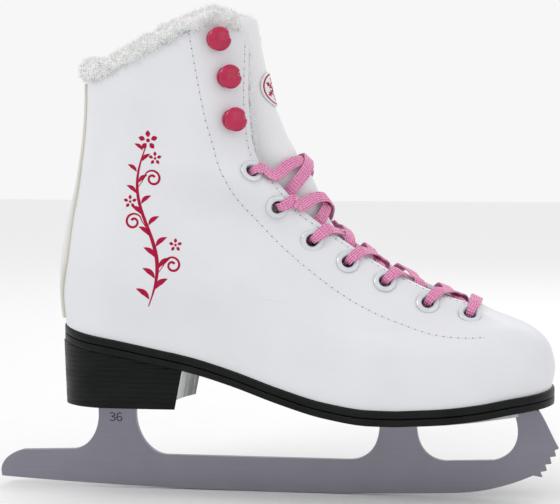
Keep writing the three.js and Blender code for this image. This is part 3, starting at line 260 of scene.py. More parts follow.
# ---------------------------------------------------------------- the boot's shape
@dataclass
class BootForm:
    """The boot's skin, from which every soft layer is taken. All lengths are millimetres."""

    gap: float = 0.3
    boot_length: float = 251
    heel_x: float = -109.5
    ball_height: float = 49.4
    seat_rise: float = 37
    toe_spring: float = 7.6
    heel_half: float = 29
    waist_half: float = 27.5
    ball_half: float = 42
    ankle_half: float = 32
    collar_half: float = 38
    toe_bend: float = 3.4
    shaft_height: float = 127
    instep_height: float = 83
    shaft_front: float = 100
    collar_arch: float = 10
    shaft_round: float = 36
    toe_round: float = 62
    vamp_reach: float = 105
    vamp_top: float = 14
    leather: float = 1.8
    stiffener: float = 1.2
    lining: float = 2.4
    throat_end: float = 0.247
    throat_half: float = 12
    shaft_gap: float = 22
    top_gap: float = 19
    lining_show: float = 2.2
    lay_on: float = 0.5

    def __post_init__(self) -> None:
        """Works out the curves that the skin is made of."""
        self.toe_x = self.heel_x + self.boot_length
        self.seat_curve = Knots((
            (0, 1), (0.05, 0.93), (0.12, 0.85), (0.205, 0.735), (0.277, 0.63),
            (0.367, 0.45), (0.466, 0.238), (0.559, 0.075), (0.647, 0.003), (0.72, 0),
        ))
        self.toe_curve = Knots(((0.7, 0), (0.787, 0.17), (0.854, 0.41), (0.923, 0.76), (1, 1)))
        self.sole_width = Knots((
            (0, self.heel_half), (0.2, self.heel_half), (0.34, self.waist_half),
            (0.5, lerp(self.waist_half, self.ball_half, 0.5)), (0.7, self.ball_half), (1, self.ball_half),
        ))
        self.upper_width = Knots((
            (0, self.heel_half + 3), (0.35, self.ankle_half + 0.5), (0.5, self.ankle_half),
            (0.68, self.ankle_half + 2), (1, self.collar_half),
        ))
        seat_z = self.feather_z(self.heel_x)
        back = ((0.7, 0), (-0.8, 0.1), (-0.8, 0.21), (0.5, 0.3), (3.3, 0.42), (7.7, 0.57), (10.5, 0.7),
                (12.2, 0.81), (12.9, 0.91), (13, 1))
        self.back_line = Line([(self.heel_x + x, seat_z + self.shaft_height * k) for x, k in back])
        self.instep_x = self.along(0.588)
        vamp = ((1.007, 0.2), (1.002, 0.3), (0.988, 0.386), (0.956, 0.464), (0.92, 0.51), (0.883, 0.553),
                (0.843, 0.613), (0.783, 0.67), (0.703, 0.778), (0.632, 0.905), (0.588, 1))
        shaft = ((-11.5, 0.095), (-23.5, 0.25), (-33, 0.35), (-37.3, 0.45), (-39, 0.56), (-40.5, 0.7),
                 (-42, 0.86), (-43, 1))
        self.front_line = Line(
            [(self.toe_x, self.feather_z(self.toe_x))]
            + [(self.along(t), self.ball_height + self.instep_height * k) for t, k in vamp]
            + [self.shaft_place(x, k) for x, k in shaft]
        )
        self.collar_hump = Knots((
            (0, 0), (0.13, -0.36), (0.28, -0.1), (0.43, 0.31), (0.66, 0.87), (0.76, 1), (0.9, 0.6), (1, 0),
        ))
        half, wide = self.throat_half, self.shaft_gap
        self.half_gap = Knots((
            (self.throat_end, 3), (self.throat_end + 0.006, half * 0.65), (self.throat_end + 0.016, half * 0.9),
            (self.throat_end + 0.05, half), (0.5, half), (0.6, lerp(half, wide, 0.25)),
            (0.66, lerp(half, wide, 0.65)), (0.76, wide), (0.86, wide), (1, self.top_gap),
        ))
        self.under = self.leather + self.gap
        self.lining_depth = self.under + self.stiffener + 2 * self.gap
        self.layers = self.leather + self.stiffener + self.lining + 3 * self.gap

    def shaft_place(self, x: float, k: float) -> Point2:
        """Args: x from the instep, and k, share of the shaft's height. Returns: the (x, z) place."""
        return self.instep_x + x, self.ball_height + self.instep_height + self.shaft_front * k

    def along(self, t: float) -> float:
        """Args: t, share of the boot's length. Returns: x there."""
        return self.heel_x + self.boot_length * t

    def share(self, x: float) -> float:
        """Args: x. Returns: its share of the boot's length."""
        return (x - self.heel_x) / self.boot_length

    def feather_z(self, x: float) -> float:
        """Args: x. Returns: the height of the line where the boot meets its sole."""
        t = self.share(x)
        return self.ball_height + self.seat_rise * self.seat_curve(t) + self.toe_spring * self.toe_curve(t)

    def centre_y(self, x: float) -> float:
        """Args: x. Returns: y of the foot's bent middle line."""
        return self.toe_bend * smooth(0.4, 1.05, self.share(x))

    def half_width(self, x: float, v: float, from_back: float, from_front: float) -> float:
        """Half the boot's width.

        Args:
            x: place along the boot.
            v: level from sole to collar.
            from_back: distance from the back line.
            from_front: distance from the front line.

        Returns:
            The distance from the middle line to the skin.
        """
        full = lerp(self.sole_width(self.share(x)), self.upper_width(v), smooth(0, 0.3, v))
        back_round = lerp(self.heel_half, self.shaft_round, clamp01(v))
        toe = full * rounded(from_front, self.toe_round, 2.3)
        flank = 1 - (1 - clamp01(from_front / self.vamp_reach)) ** 1.4
        vamp = self.vamp_top * rounded(from_front, 7, 2) + (full - self.vamp_top) * flank
        shaft = full * rounded(from_front, self.shaft_round, 2)
        low = lerp(toe, vamp, smooth(0.1, 0.27, v))
        return rounded(from_back, back_round, 2) * lerp(low, shaft, smooth(0.5, 0.72, v))

    def side_point(self, s: float, v: float, side: int) -> Vector:
        """Args: s from the back (0) to the front (1), v, and the side's sign. Returns: the skin's point."""
        back, front = self.back_line.at(v), self.front_line.at(v)
        length = front.x - back.x
        x = back.x + length * s
        foot = self.heel_x + self.boot_length * s
        sag = self.feather_z(foot) - lerp(self.feather_z(self.heel_x), self.feather_z(self.toe_x), s)
        z = (
            lerp(back.y, front.y, s)
            + sag * (1 - clamp01(v / 0.6)) ** 2
            + self.collar_arch * self.collar_hump(s) * smooth(0.7, 1, v)
        )
        half = self.half_width(x, v, length * s, length * (1 - s))
        return Vector((x, self.centre_y(x) + side * half, z))

    def point(self, u: float, v: float) -> Vector:
        """Args: u round from the heel seam (0) by the outer side to the front (0.5), and v. Returns: the point."""
        return self.side_point((1 - math.cos(2 * math.pi * u)) / 2, v, -1 if u < 0.5 else 1)

    def normal(self, u: float, v: float) -> Vector:
        """Args: u and v. Returns: the skin's outward normal."""
        e = 0.004
        across = self.point((u + e) % 1, v) - self.point((u - e) % 1, v)
        up = self.point(u, min(1.0, v + e)) - self.point(u, max(0.0, v - e))
        return across.cross(up).normalized()

    def skin(self, u: float, v: float, depth: float) -> Vector:
        """Args: u, v, and the depth below the skin. Returns: the point there."""
        return self.point(u, v) - self.normal(u, v) * depth

    def place_at(self, x: float, z: float, side: int, start: Point2 = (0.6, 0.6)) -> Point2:
        """Finds the skin's (u, v) that shows at (x, z) from the side.

        Args:
            x: place along the boot.
            z: height.
            side: the side's sign.
            start: the (s, v) that the search starts from.

        Returns:
            (u, v).
        """
        s, v = start
        e = 1e-4
        for _ in range(60):
            p = self.side_point(s, v, side)
            ps, pv = self.side_point(s + e, v, side), self.side_point(s, v + e, side)
            a, b, c, d = (ps.x - p.x) / e, (pv.x - p.x) / e, (ps.z - p.z) / e, (pv.z - p.z) / e
            dx, dz = x - p.x, z - p.z
            if abs(dx) + abs(dz) < 1e-4:
                break
            det = a * d - b * c
            s = min(0.999, max(0.001, s + 0.7 * (d * dx - b * dz) / det))
            v = min(0.995, max(0.005, v + 0.7 * (a * dz - c * dx) / det))
        u = math.acos(1 - 2 * s) / (2 * math.pi)
        return (u if side < 0 else 1 - u), v

    def front_normal(self, v: float) -> Vector:
        """Args: v. Returns: the direction away from the boot along its front."""
        a, b = self.front_line.at(v - 0.01), self.front_line.at(v + 0.01)
        return Vector((b.y - a.y, 0, a.x - b.x)).normalized()

    def front_point(self, v: float, out: float) -> Vector:
        """Args: v, and the distance out from the front line. Returns: the point."""
        p = self.front_line.at(v)
        return Vector((p.x, self.centre_y(p.x), p.y)) + self.front_normal(v) * out

    def level_of(self, p: Vector) -> float:
        """Args: p, a point. Returns: the place along the front line that it lies square to."""
        low, high = 0.15, 1.0
        for _ in range(22):
            v = (low + high) / 2
            at = self.front_line.at(v)
            ahead, behind = self.front_line.at(v + 0.001), self.front_line.at(v - 0.001)
            if (p.x - at.x) * (ahead.x - behind.x) + (p.z - at.y) * (ahead.y - behind.y) > 0:
                low = v
            else:
                high = v
        return (low + high) / 2

    def edge_column(self, v: float, extra: float) -> float:
        """The column where the throat's edge crosses a row of the skin.

        Args:
            v: the row.
            extra: distance further from the middle than the edge.

        Returns:
            u on the outer side, or 0.5 where the row is whole.
        """
        def beyond(u: float) -> float:
            p = self.point(u, v)
            level = self.level_of(p)
            gap = self.half_gap(level) + extra if level > self.throat_end else 0.0
            return abs(p.y - self.centre_y(p.x)) - gap

        if beyond(0.4999) >= 0:
            return 0.5
        near, far = 0.5, 0.28
        for _ in range(24):
            u = (near + far) / 2
            if beyond(u) < 0:
                near = u
            else:
                far = u
        return far

    def column_at(self, v: float, y: float) -> float:
        """Args: v, and y from the middle. Returns: the column of the skin there, near the front."""
        level = min(1.0, v)
        near, far = 0.5, 0.2
        for _ in range(26):
            u = (near + far) / 2
            p = self.point(u, level)
            if self.centre_y(p.x) - p.y < abs(y):
                near = u
            else:
                far = u
        return near if y < 0 else 1 - near


# ---------------------------------------------------------------- finishes
@dataclass(frozen=True)
class Finish:
    """A procedural finish."""

    name: str
    surface: Surface
    color: tuple[float, float, float]
    roughness: float
    second: tuple[float, float, float] = (0.5, 0.5, 0.5)
    metallic: float = 0.0
    grain: float = 0.0006
    relief: float = 0.3
    coat: float = 0.0
    specular: float = 0.5
    # painted light: an emission that makes a finish glow though it is no lamp
    painted_glow: float = 0.0


WHITE_LEATHER = Finish("white_leather", Surface.LEATHER, (0.70, 0.705, 0.73), 0.42, (0.67, 0.675, 0.705),
                       grain=0.0009, relief=0.16, coat=0.12)
STAY_LEATHER = Finish("stay_leather", Surface.LEATHER, (0.69, 0.69, 0.71), 0.45, (0.65, 0.65, 0.68),
                      grain=0.0009, relief=0.2, coat=0.12)
TONGUE_LEATHER = Finish("tongue_leather", Surface.LEATHER, (0.75, 0.75, 0.77), 0.5, (0.72, 0.72, 0.745),
                        grain=0.0011, relief=0.18, coat=0.05)
CREAM_PIPING = Finish("cream_piping", Surface.LEATHER, (0.62, 0.61, 0.52), 0.5, (0.57, 0.56, 0.48), grain=0.0012)
# The fur's faint white emission is painted light, standing in for light scattered through the pile.
FAUX_FUR = Finish("faux_fur", Surface.PILE, (0.86, 0.86, 0.85), 0.9, (0.76, 0.76, 0.76), grain=0.0016, relief=0.4,
                  painted_glow=0.05)
PLUSH = Finish("plush_lining", Surface.PILE, (0.90, 0.90, 0.88), 0.95, (0.84, 0.84, 0.82), grain=0.0012, relief=0.7)
PINK_LACE = Finish("pink_lace", Surface.WEAVE, (0.70, 0.11, 0.34), 0.5, (0.86, 0.60, 0.74), relief=0.9)
CRIMSON_INK = Finish("crimson_ink", Surface.INK, (0.34, 0.002, 0.035), 0.55, (0.40, 0.004, 0.05), specular=0.15)
THREAD = Finish("white_thread", Surface.PILE, (0.80, 0.80, 0.80), 0.7, (0.70, 0.70, 0.72), grain=0.0004)
# painted shade: the dark grey of the needle holes stands in for the shadow inside each hole
NEEDLE_HOLE_SHADE = Finish("needle_hole_shade", Surface.RUBBER, (0.26, 0.26, 0.29), 0.9, (0.20, 0.20, 0.23), grain=0.0004)
CRIMSON_GLOSS = Finish("crimson_gloss", Surface.GLOSS, (0.38, 0.001, 0.042), 0.12, (0.46, 0.002, 0.07),
                       coat=0.3, specular=0.4)
EYELET_ENAMEL = Finish("eyelet_enamel", Surface.GLOSS, (0.64, 0.67, 0.71), 0.2, (0.58, 0.61, 0.65),
                       metallic=0.15, coat=0.5)
BLACK_SOLE = Finish("black_sole", Surface.RUBBER, (0.005, 0.006, 0.0055), 0.4, (0.009, 0.010, 0.0095),
                    grain=0.0007, relief=0.2, specular=0.12)
BLACK_STACK = Finish("black_stack", Surface.STACK, (0.004, 0.005, 0.0046), 0.38, (0.009, 0.010, 0.0095),
                     grain=0.0026, relief=0.3, specular=0.12)
# The breast's light grey upright bands on black are painted reflection.
BREAST_GLOSS = Finish("breast_gloss", Surface.REFLECTION_STREAKED, (0.05, 0.055, 0.052), 0.16, (0.42, 0.45, 0.43), coat=0.9)
BLADE_STEEL = Finish("blade_steel", Surface.BRUSHED, (0.215, 0.21, 0.25), 0.36, (0.24, 0.235, 0.275), metallic=0.8)
PLATE_STEEL = Finish("plate_steel", Surface.BRUSHED, (0.36, 0.36, 0.39), 0.36, (0.44, 0.44, 0.47), metallic=0.9)
SCREW_ZINC = Finish("screw_zinc", Surface.BRUSHED, (0.5, 0.5, 0.52), 0.3, (0.6, 0.6, 0.6), metallic=1.0)
MARK_INK = Finish("etched_mark", Surface.INK, (0.012, 0.012, 0.02), 0.7, (0.02, 0.02, 0.03), specular=0.1)
FIBRE_BOARD = Finish("fibre_board", Surface.BOARD, (0.42, 0.31, 0.18), 0.85, (0.33, 0.24, 0.14))
STIFF_FELT = Finish("stiff_felt", Surface.BOARD, (0.62, 0.58, 0.50), 0.85, (0.52, 0.49, 0.42))
AGLET_FILM = Finish("aglet_film", Surface.GLOSS, (0.80, 0.55, 0.68), 0.2, (0.85, 0.65, 0.75), coat=0.6)


class Workshop:
    """Makes materials from finishes, each once."""

    def __init__(self) -> None:
        self._made: dict[str, bpy.types.Material] = {}

    def material(self, finish: Finish) -> bpy.types.Material:
        """Args: finish. Returns: its material."""
        if finish.name not in self._made:
            self._made[finish.name] = self._build(finish)
        return self._made[finish.name]

    def _build(self, finish: Finish) -> bpy.types.Material:
        material = bpy.data.materials.new(finish.name)
        material.use_nodes = True
        tree = material.node_tree
        tree.nodes.clear()
        out = tree.nodes.new("ShaderNodeOutputMaterial")
        bsdf = tree.nodes.new("ShaderNodeBsdfPrincipled")
        tree.links.new(bsdf.outputs["BSDF"], out.inputs["Surface"])
        bsdf.inputs["Metallic"].default_value = finish.metallic
        bsdf.inputs["Coat Weight"].default_value = finish.coat
        bsdf.inputs["Coat Roughness"].default_value = 0.12
        bsdf.inputs["Specular IOR Level"].default_value = finish.specular
        # Emission here is painted light: only the fur has any, a faint glow standing in for light scattered in its
        # pile.
        bsdf.inputs["Emission Color"].default_value = (1, 1, 0.99, 1)
        bsdf.inputs["Emission Strength"].default_value = finish.painted_glow
        shader = Shader(tree, bsdf, finish)
        getattr(shader, finish.surface.value)()
        return material


@dataclass
class Shader:
    """Fills one material's node tree."""

    tree: bpy.types.NodeTree
    bsdf: bpy.types.Node
    finish: Finish

    def _node(self, kind: str, **values) -> bpy.types.Node:
        node = self.tree.nodes.new(kind)
        for key, value in values.items():
            setattr(node, key, value)
        return node

    def _coordinates(self, stretch: tuple[float, float, float] = (1, 1, 1), uv: bool = False):
        source = self._node("ShaderNodeTexCoord")
        scale = self._node("ShaderNodeMapping")
        scale.inputs["Scale"].default_value = stretch
        self.tree.links.new(source.outputs["UV" if uv else "Object"], scale.inputs["Vector"])
        return scale.outputs["Vector"]

    def _noise(self, size: float, detail: float = 3.0, stretch=(1, 1, 1), uv: bool = False):
        node = self._node("ShaderNodeTexNoise")
        node.inputs["Scale"].default_value = 1 / size
        node.inputs["Detail"].default_value = detail
        self.tree.links.new(self._coordinates(stretch, uv), node.inputs["Vector"])
        return node.outputs["Fac"]

    def _cells(self, size: float, uv: bool = False, stretch=(1, 1, 1)):
        node = self._node("ShaderNodeTexVoronoi")
        node.inputs["Scale"].default_value = 1 / size
        self.tree.links.new(self._coordinates(stretch, uv), node.inputs["Vector"])
        return node.outputs["Distance"]

    def _wave(self, size: float, axis: str, uv: bool = False, distortion: float = 0.0):
        node = self._node("ShaderNodeTexWave", bands_direction=axis)
        node.inputs["Scale"].default_value = 0.314 / size
        node.inputs["Distortion"].default_value = distortion
        node.inputs["Detail"].default_value = 1.0
        self.tree.links.new(self._coordinates((1, 1, 1), uv), node.inputs["Vector"])
        return node.outputs["Fac"]

    def _range(self, value, low: float, high: float, to_low: float, to_high: float):
        node = self._node("ShaderNodeMapRange")
        self.tree.links.new(value, node.inputs["Value"])
        for name, number in (("From Min", low), ("From Max", high), ("To Min", to_low), ("To Max", to_high)):
            node.inputs[name].default_value = number
        return node.outputs["Result"]

    def _math(self, operation: str, a, b):
        node = self._node("ShaderNodeMath", operation=operation)
        for slot, value in zip(node.inputs, (a, b)):
            if isinstance(value, (int, float)):
                slot.default_value = value
            else:
                self.tree.links.new(value, slot)
        return node.outputs["Value"]

    def _color(self, share, first=None, second=None) -> None:
        node = self._node("ShaderNodeMix", data_type="RGBA")
        self.tree.links.new(share, node.inputs["Factor"])
        node.inputs["A"].default_value = (*(first or self.finish.color), 1)
        node.inputs["B"].default_value = (*(second or self.finish.second), 1)
        self.tree.links.new(node.outputs["Result"], self.bsdf.inputs["Base Color"])

    def _rough(self, share, spread: float) -> None:
        r = self.finish.roughness
        self.tree.links.new(self._range(share, 0.3, 0.7, r - spread, r + spread), self.bsdf.inputs["Roughness"])

    def _bump(self, height, distance: float) -> None:
        node = self._node("ShaderNodeBump")
        node.inputs["Strength"].default_value = self.finish.relief
        node.inputs["Distance"].default_value = distance
        self.tree.links.new(height, node.inputs["Height"])
        self.tree.links.new(node.outputs["Normal"], self.bsdf.inputs["Normal"])

    def leather(self) -> None:
        """Fine pebbled grain over soft, wide unevenness."""
        wide = self._noise(0.035, 3)
        pores = self._cells(self.finish.grain)
        self._color(self._range(wide, 0.35, 0.7, 0, 1))
        self._rough(wide, 0.05)
        creases = self._noise(0.006, 4)
        self._bump(self._math("ADD", pores, self._math("MULTIPLY", creases, 1.2)), 0.00022)

    def pile(self) -> None:
        """Matted fibres in lighter and darker clumps."""
        clumps = self._noise(self.finish.grain * 3, 4)
        fibres = self._noise(self.finish.grain * 0.4, 2)
        self._color(self._range(clumps, 0.35, 0.65, 0, 1))
        self._rough(clumps, 0.03)
        self.bsdf.inputs["Sheen Weight"].default_value = 0.35
        self.bsdf.inputs["Sheen Roughness"].default_value = 0.5
        self.bsdf.inputs["Subsurface Weight"].default_value = 0.15
        self.bsdf.inputs["Subsurface Scale"].default_value = 0.003
        self._bump(self._math("ADD", clumps, fibres), 0.0009)

    def weave(self) -> None:
        """Flat braid: ribs along the lace, picks across it and scattered glitter."""
        ribs = self._wave(0.00115, "Y", True, 0.4)
        picks = self._wave(0.0017, "X", True, 0.8)
        cloth = self._math("ADD", ribs, self._math("MULTIPLY", picks, 0.6))
        flecks = self._noise(0.0008, 1, (1, 1.6, 1), uv=True)
        glitter = self._range(flecks, 0.56, 0.62, 0, 1)
        self._color(self._math("ADD", self._range(cloth, 0.5, 1.5, 0, 0.6), self._math("MULTIPLY", glitter, 0.55)))
        self._rough(flecks, 0.12)
        self.tree.links.new(self._math("MULTIPLY", glitter, 0.6), self.bsdf.inputs["Metallic"])
        self._bump(cloth, 0.0004)

    def rubber(self) -> None:
        """Moulded surface with a fine grain."""
        wide = self._noise(0.012, 3)
        self._color(self._range(wide, 0.35, 0.7, 0, 1))
        self._rough(wide, 0.07)
        self._bump(self._noise(self.finish.grain, 3), 0.0002)

    def stack(self) -> None:
        """Stacked lifts with a slight sheen between the grooves."""
        wide = self._noise(0.02, 3, (1, 1, 3))
        self._color(self._range(wide, 0.4, 0.7, 0, 0.7))
        self._rough(wide, 0.08)
        self._bump(self._noise(0.001, 3, (1, 1, 4)), 0.0002)

    def reflection_streaked(self) -> None:
        """Polished face with upright light grey bands of painted reflection."""
        # painted reflection: stretched noise lays upright light grey bands over the black
        reflection_streaks = self._noise(0.004, 3, (1, 1, 0.06))
        self._color(self._range(reflection_streaks, 0.42, 0.62, 0, 1))
        self._rough(reflection_streaks, 0.06)
        self._bump(reflection_streaks, 0.0004)

    def brushed(self) -> None:
        """Metal with long fine scratches along X."""
        scratches = self._noise(0.0012, 4, (0.05, 1, 1))
        stains = self._noise(0.02, 3)
        self._color(self._range(self._math("ADD", scratches, stains), 0.7, 1.35, 0, 1))
        self._rough(scratches, 0.05)
        self._bump(scratches, 0.00008)

    def gloss(self) -> None:
        """Smooth glossy enamel, a little uneven."""
        wide = self._noise(0.004, 2)
        self._color(self._range(wide, 0.35, 0.7, 0, 1))
        self._rough(wide, 0.04)
        self._bump(wide, 0.0001)

    def ink(self) -> None:
        """Printed ink with a slightly uneven cover."""
        cover = self._noise(0.002, 4)
        self._color(self._range(cover, 0.35, 0.7, 0, 1))
        self._rough(cover, 0.06)
        self._bump(self._cells(0.0009), 0.0001)

    def board(self) -> None:
        """Pressed fibres."""
        fibres = self._noise(0.002, 5, (1, 0.4, 1))
        self._color(self._range(fibres, 0.35, 0.65, 0, 1))
        self._rough(fibres, 0.05)
        self._bump(fibres, 0.0004)


# ---------------------------------------------------------------- making meshes
def tube_faces(rings: int, size: int) -> list[tuple[int, ...]]:
    """Args: the count of rings, and of points on each. Returns: the faces that join them in order."""
    steps_round = [(j, (j + 1) % size) for j in range(size)]
    return [
        (i * size + j, i * size + k, (i + 1) * size + k, (i + 1) * size + j)
        for i in range(rings - 1)
        for j, k in steps_round
    ]


@contextmanager
def editing(obj: bpy.types.Object) -> Iterator[bmesh.types.BMesh]:
    """Args: obj, whose mesh is edited. Yields: the mesh, which is written back at the end."""
    work = bmesh.new()
    work.from_mesh(obj.data)
    yield work
    work.to_mesh(obj.data)
    work.free()


@dataclass
class Maker:
    """Turns lists of points in millimetres into finished pieces on a body."""

    workshop: Workshop

    def mesh(self, name: str, points: Sequence[Vector], faces: Sequence[Sequence[int]], finish: Finish,
             body: str | None = BOOT, flat: bool = False) -> bpy.types.Object:
        """Makes one piece.

        Args:
            name: the piece's name.
            points: its points.
            faces: its faces.
            finish: its finish.
            body: the body it rides on, or None if that comes later.
            flat: whether its faces are shaded flat.

        Returns:
            The object.
        """
        data = bpy.data.meshes.new(name)
        data.from_pydata([(p[0] * MM, p[1] * MM, p[2] * MM) for p in points], [], [tuple(f) for f in faces])
        data.materials.append(self.workshop.material(finish))
        if not flat:
            data.shade_smooth()
        obj = bpy.data.objects.new(name, data)
        bpy.context.scene.collection.objects.link(obj)
        if body:
            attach(obj, body)
        return obj

    def loft(self, name: str, rings: Sequence[Sequence[Vector]], finish: Finish,
             body: str | None = BOOT, caps: bool = True) -> bpy.types.Object:
        """Joins rings of equal count in order. Args: as mesh, with caps to close both ends. Returns: the object."""
        m = len(rings[0])
        faces = tube_faces(len(rings), m)
        if caps:
            last = (len(rings) - 1) * m
            faces.append(tuple(reversed(range(m))))
            faces.append(tuple(range(last, last + m)))
        obj = self.mesh(name, [p for ring in rings for p in ring], faces, finish, body)
        outward(obj)
        return obj

    def lathe(self, name: str, profile: Sequence[Point2], place: Matrix, finish: Finish,
              segments: int = 40, ring: bool = False) -> bpy.types.Object:
        """Turns a profile about its own Z.

        Args:
            name: the piece's name.
            profile: (radius, height) points.
            place: where it goes, in millimetres.
            finish: its finish.
            segments: steps round.
            ring: whether the profile closes on itself.

        Returns:
            The object.
        """
        n = len(profile)
        points = []
        for i in range(segments):
            a = 2 * math.pi * i / segments
            points += [place @ Vector((r * math.cos(a), r * math.sin(a), h)) for r, h in profile]
        faces = []
        for i in range(segments):
            k = (i + 1) % segments
            for j in range(n if ring else n - 1):
                q = (j + 1) % n
                faces.append((i * n + j, k * n + j, k * n + q, i * n + q))
        obj = self.mesh(name, points, faces, finish)
        outward(obj)
        return obj


def outward(obj: bpy.types.Object) -> None:
    """Args: obj, whose doubled points are joined and whose faces are turned outwards."""
    with editing(obj) as work:
        bmesh.ops.remove_doubles(work, verts=work.verts, dist=2e-6)
        bmesh.ops.recalc_face_normals(work, faces=work.faces)
    obj.data.update()


def soften(obj: bpy.types.Object, width: float, segments: int = 2, angle: float = 40) -> None:
    """Rounds an object's sharp edges.

    Args:
        obj: the object.
        width: the rounding's width in millimetres.
        segments: steps across it.
        angle: the least angle in degrees that counts as sharp.
    """
    bevel = obj.modifiers.new("rounding", "BEVEL")
    bevel.width = width * MM
    bevel.segments = segments
    bevel.limit_method = "ANGLE"
    bevel.angle_limit = math.radians(angle)
    bevel.harden_normals = True


def thicken(obj: bpy.types.Object, thickness: float, edge: float = 0.4) -> None:
    """Args: obj, an open sheet; its thickness inwards; and the rounding of its edges, in millimetres."""
    solid = obj.modifiers.new("thickness", "SOLIDIFY")
    solid.thickness = thickness * MM
    solid.offset = -1
    solid.use_even_offset = False
    soften(obj, edge, 3, 50)


def frame_at(point: Vector, normal: Vector, lift: float = 0.0) -> Matrix:
    """Args: a point, its normal and a lift. Returns: axes there, +Z along the normal and +X to the toe."""
    z = normal.normalized()
    x = (Vector((1, 0, 0)) - z * z.x).normalized()
    y = z.cross(x)
    at = point + z * lift
    return Matrix(((x.x, y.x, z.x, at.x), (x.y, y.y, z.y, at.y), (x.z, y.z, z.z, at.z), (0, 0, 0, 1)))


# ---------------------------------------------------------------- eyelets and hooks
@dataclass(frozen=True)
class Seat:
    """Where an eyelet or hook sits on the skin."""

    name: str
    side: Side
    point: Vector
    normal: Vector


@dataclass
class Fittings:
    """The seven eyelets and three speed hooks of each side."""

    form: BootForm
    outer: float = 5.8
    hole: float = 3.0
    hook_radius: float = 6.0
    hook_height: float = 7.0
    eyelets: dict[Side, list[Seat]] = field(default_factory=dict)
    hooks: list[Seat] = field(default_factory=list)

    def __post_init__(self) -> None:
        """Finds every seat."""
        f = self.form
        low = ((0.838, 0.55), (0.755, 0.616), (0.67, 0.742), (0.596, 0.857), (0.525, 0.984))
        places = [(f.along(t), f.ball_height + f.instep_height * k) for t, k in low]
        places += [f.shaft_place(-32.5, 0.155), f.shaft_place(-45, 0.335)]
        hooks = [f.shaft_place(x, k) for x, k in ((-54.9, 0.59), (-57.4, 0.8), (-61.8, 0.985))]
        for side in Side:
            self.eyelets[side] = [
                self._seat(f"eyelet_{side.label}_{i + 1}", p, side) for i, p in enumerate(places)
            ]
            self.hooks += [self._seat(f"hook_{side.label}_{i + 1}", p, side) for i, p in enumerate(hooks)]

    def _seat(self, name: str, at: Point2, side: Side) -> Seat:
        u, v = self.form.place_at(at[0], at[1], side.value)
        return Seat(name, side, self.form.point(u, v), self.form.normal(u, v))

    def all_eyelets(self) -> list[Seat]:
        """Returns: the seats of both sides' eyelets."""
        return self.eyelets[Side.LATERAL] + self.eyelets[Side.MEDIAL]

    def build(self, maker: Maker) -> None:
        """Args: maker. Makes every eyelet and hook."""
        lay, deep = self.form.lay_on, -self.form.layers - 0.2
        wall = self.hole + 0.5
        ring = [
            (self.hole, deep), (self.hole, 0.2), (self.hole + 0.12, 0.65), (self.hole + 0.45, 1.0),
            (self.hole + 1.0, 1.2), (self.hole + 1.7, 1.15), (self.outer - 0.5, 0.92), (self.outer - 0.1, 0.72),
            (self.outer, lay + 0.05), (self.outer - 0.1, lay), (wall, lay), (wall, deep),
        ]
        for seat in self.all_eyelets():
            obj = maker.lathe(seat.name + "_ring", ring, frame_at(seat.point, seat.normal), EYELET_ENAMEL,
                              48, True)
            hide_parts(seat.name)
        for seat in self.hooks:
            self._hook(maker, seat)

    def _hook(self, maker: Maker, seat: Seat) -> None:
        """Makes one hook: a domed cap with a bitten front, its neck, foot and pin."""
        place = frame_at(seat.point, seat.normal)
        lay, high = self.form.lay_on, self.hook_height
        radius, under = self.hook_radius, self.hook_height - 1.7

        def outline(a: float, share: float) -> float:
            away = (a + 0.3 * seat.side.value + math.pi) % (2 * math.pi) - math.pi
            return share * radius * (1 - 0.3 * math.exp(-((away / 0.2) ** 2)))

        rings = []
        dome = [(math.cos(b), high - 0.9 + 2.1 * math.sin(b)) for b in steps(0.05, math.pi / 2 - 0.02, 16)]
        profile = [(0.3, under), (0.9, under), (0.97, under + 0.25), (1.0, under + 0.5), *dome]
        for share, h in profile:
            angles = [2 * math.pi * i / 72 for i in range(72)]
            reach = [(a, outline(a, share)) for a in angles]
            rings.append([place @ Vector((far * math.cos(a), far * math.sin(a), h)) for a, far in reach])
        cap = maker.loft(seat.name + "_cap", rings, CRIMSON_GLOSS)
        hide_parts(seat.name)
        neck_rings = []
        for k in steps(0, 1, 10):
            h = lerp(lay + 0.6, under + 0.5, k)
            middle = radius - 2.6 - 1.1 * math.sin(math.pi * k) + 0.5 * (1 - k)
            thick, wide = 1.5 + 0.5 * abs(2 * k - 1), 2.7 + 0.7 * abs(2 * k - 1)
            neck_rings.append([
                place @ Vector((middle + thick * math.cos(a), wide * math.sin(a), h))
                for a in (2 * math.pi * i / 20 for i in range(20))
            ])
        maker.loft(seat.name + "_neck", neck_rings, CRIMSON_GLOSS)
        foot = [(0, lay), (radius * 0.8, lay), (radius * 0.87, lay + 0.15), (radius * 0.87, lay + 0.7),
                (radius * 0.8, lay + 1.05), (radius * 0.35, lay + 1.35), (0, lay + 1.4)]
        maker.lathe(seat.name + "_foot", foot, place, CRIMSON_GLOSS, 36)
        pin = [(0, -3.1), (1.3, -3.1), (1.6, -2.8), (1.6, lay), (0, lay)]
        maker.lathe(seat.name + "_pin", pin, place, SCREW_ZINC, 20)


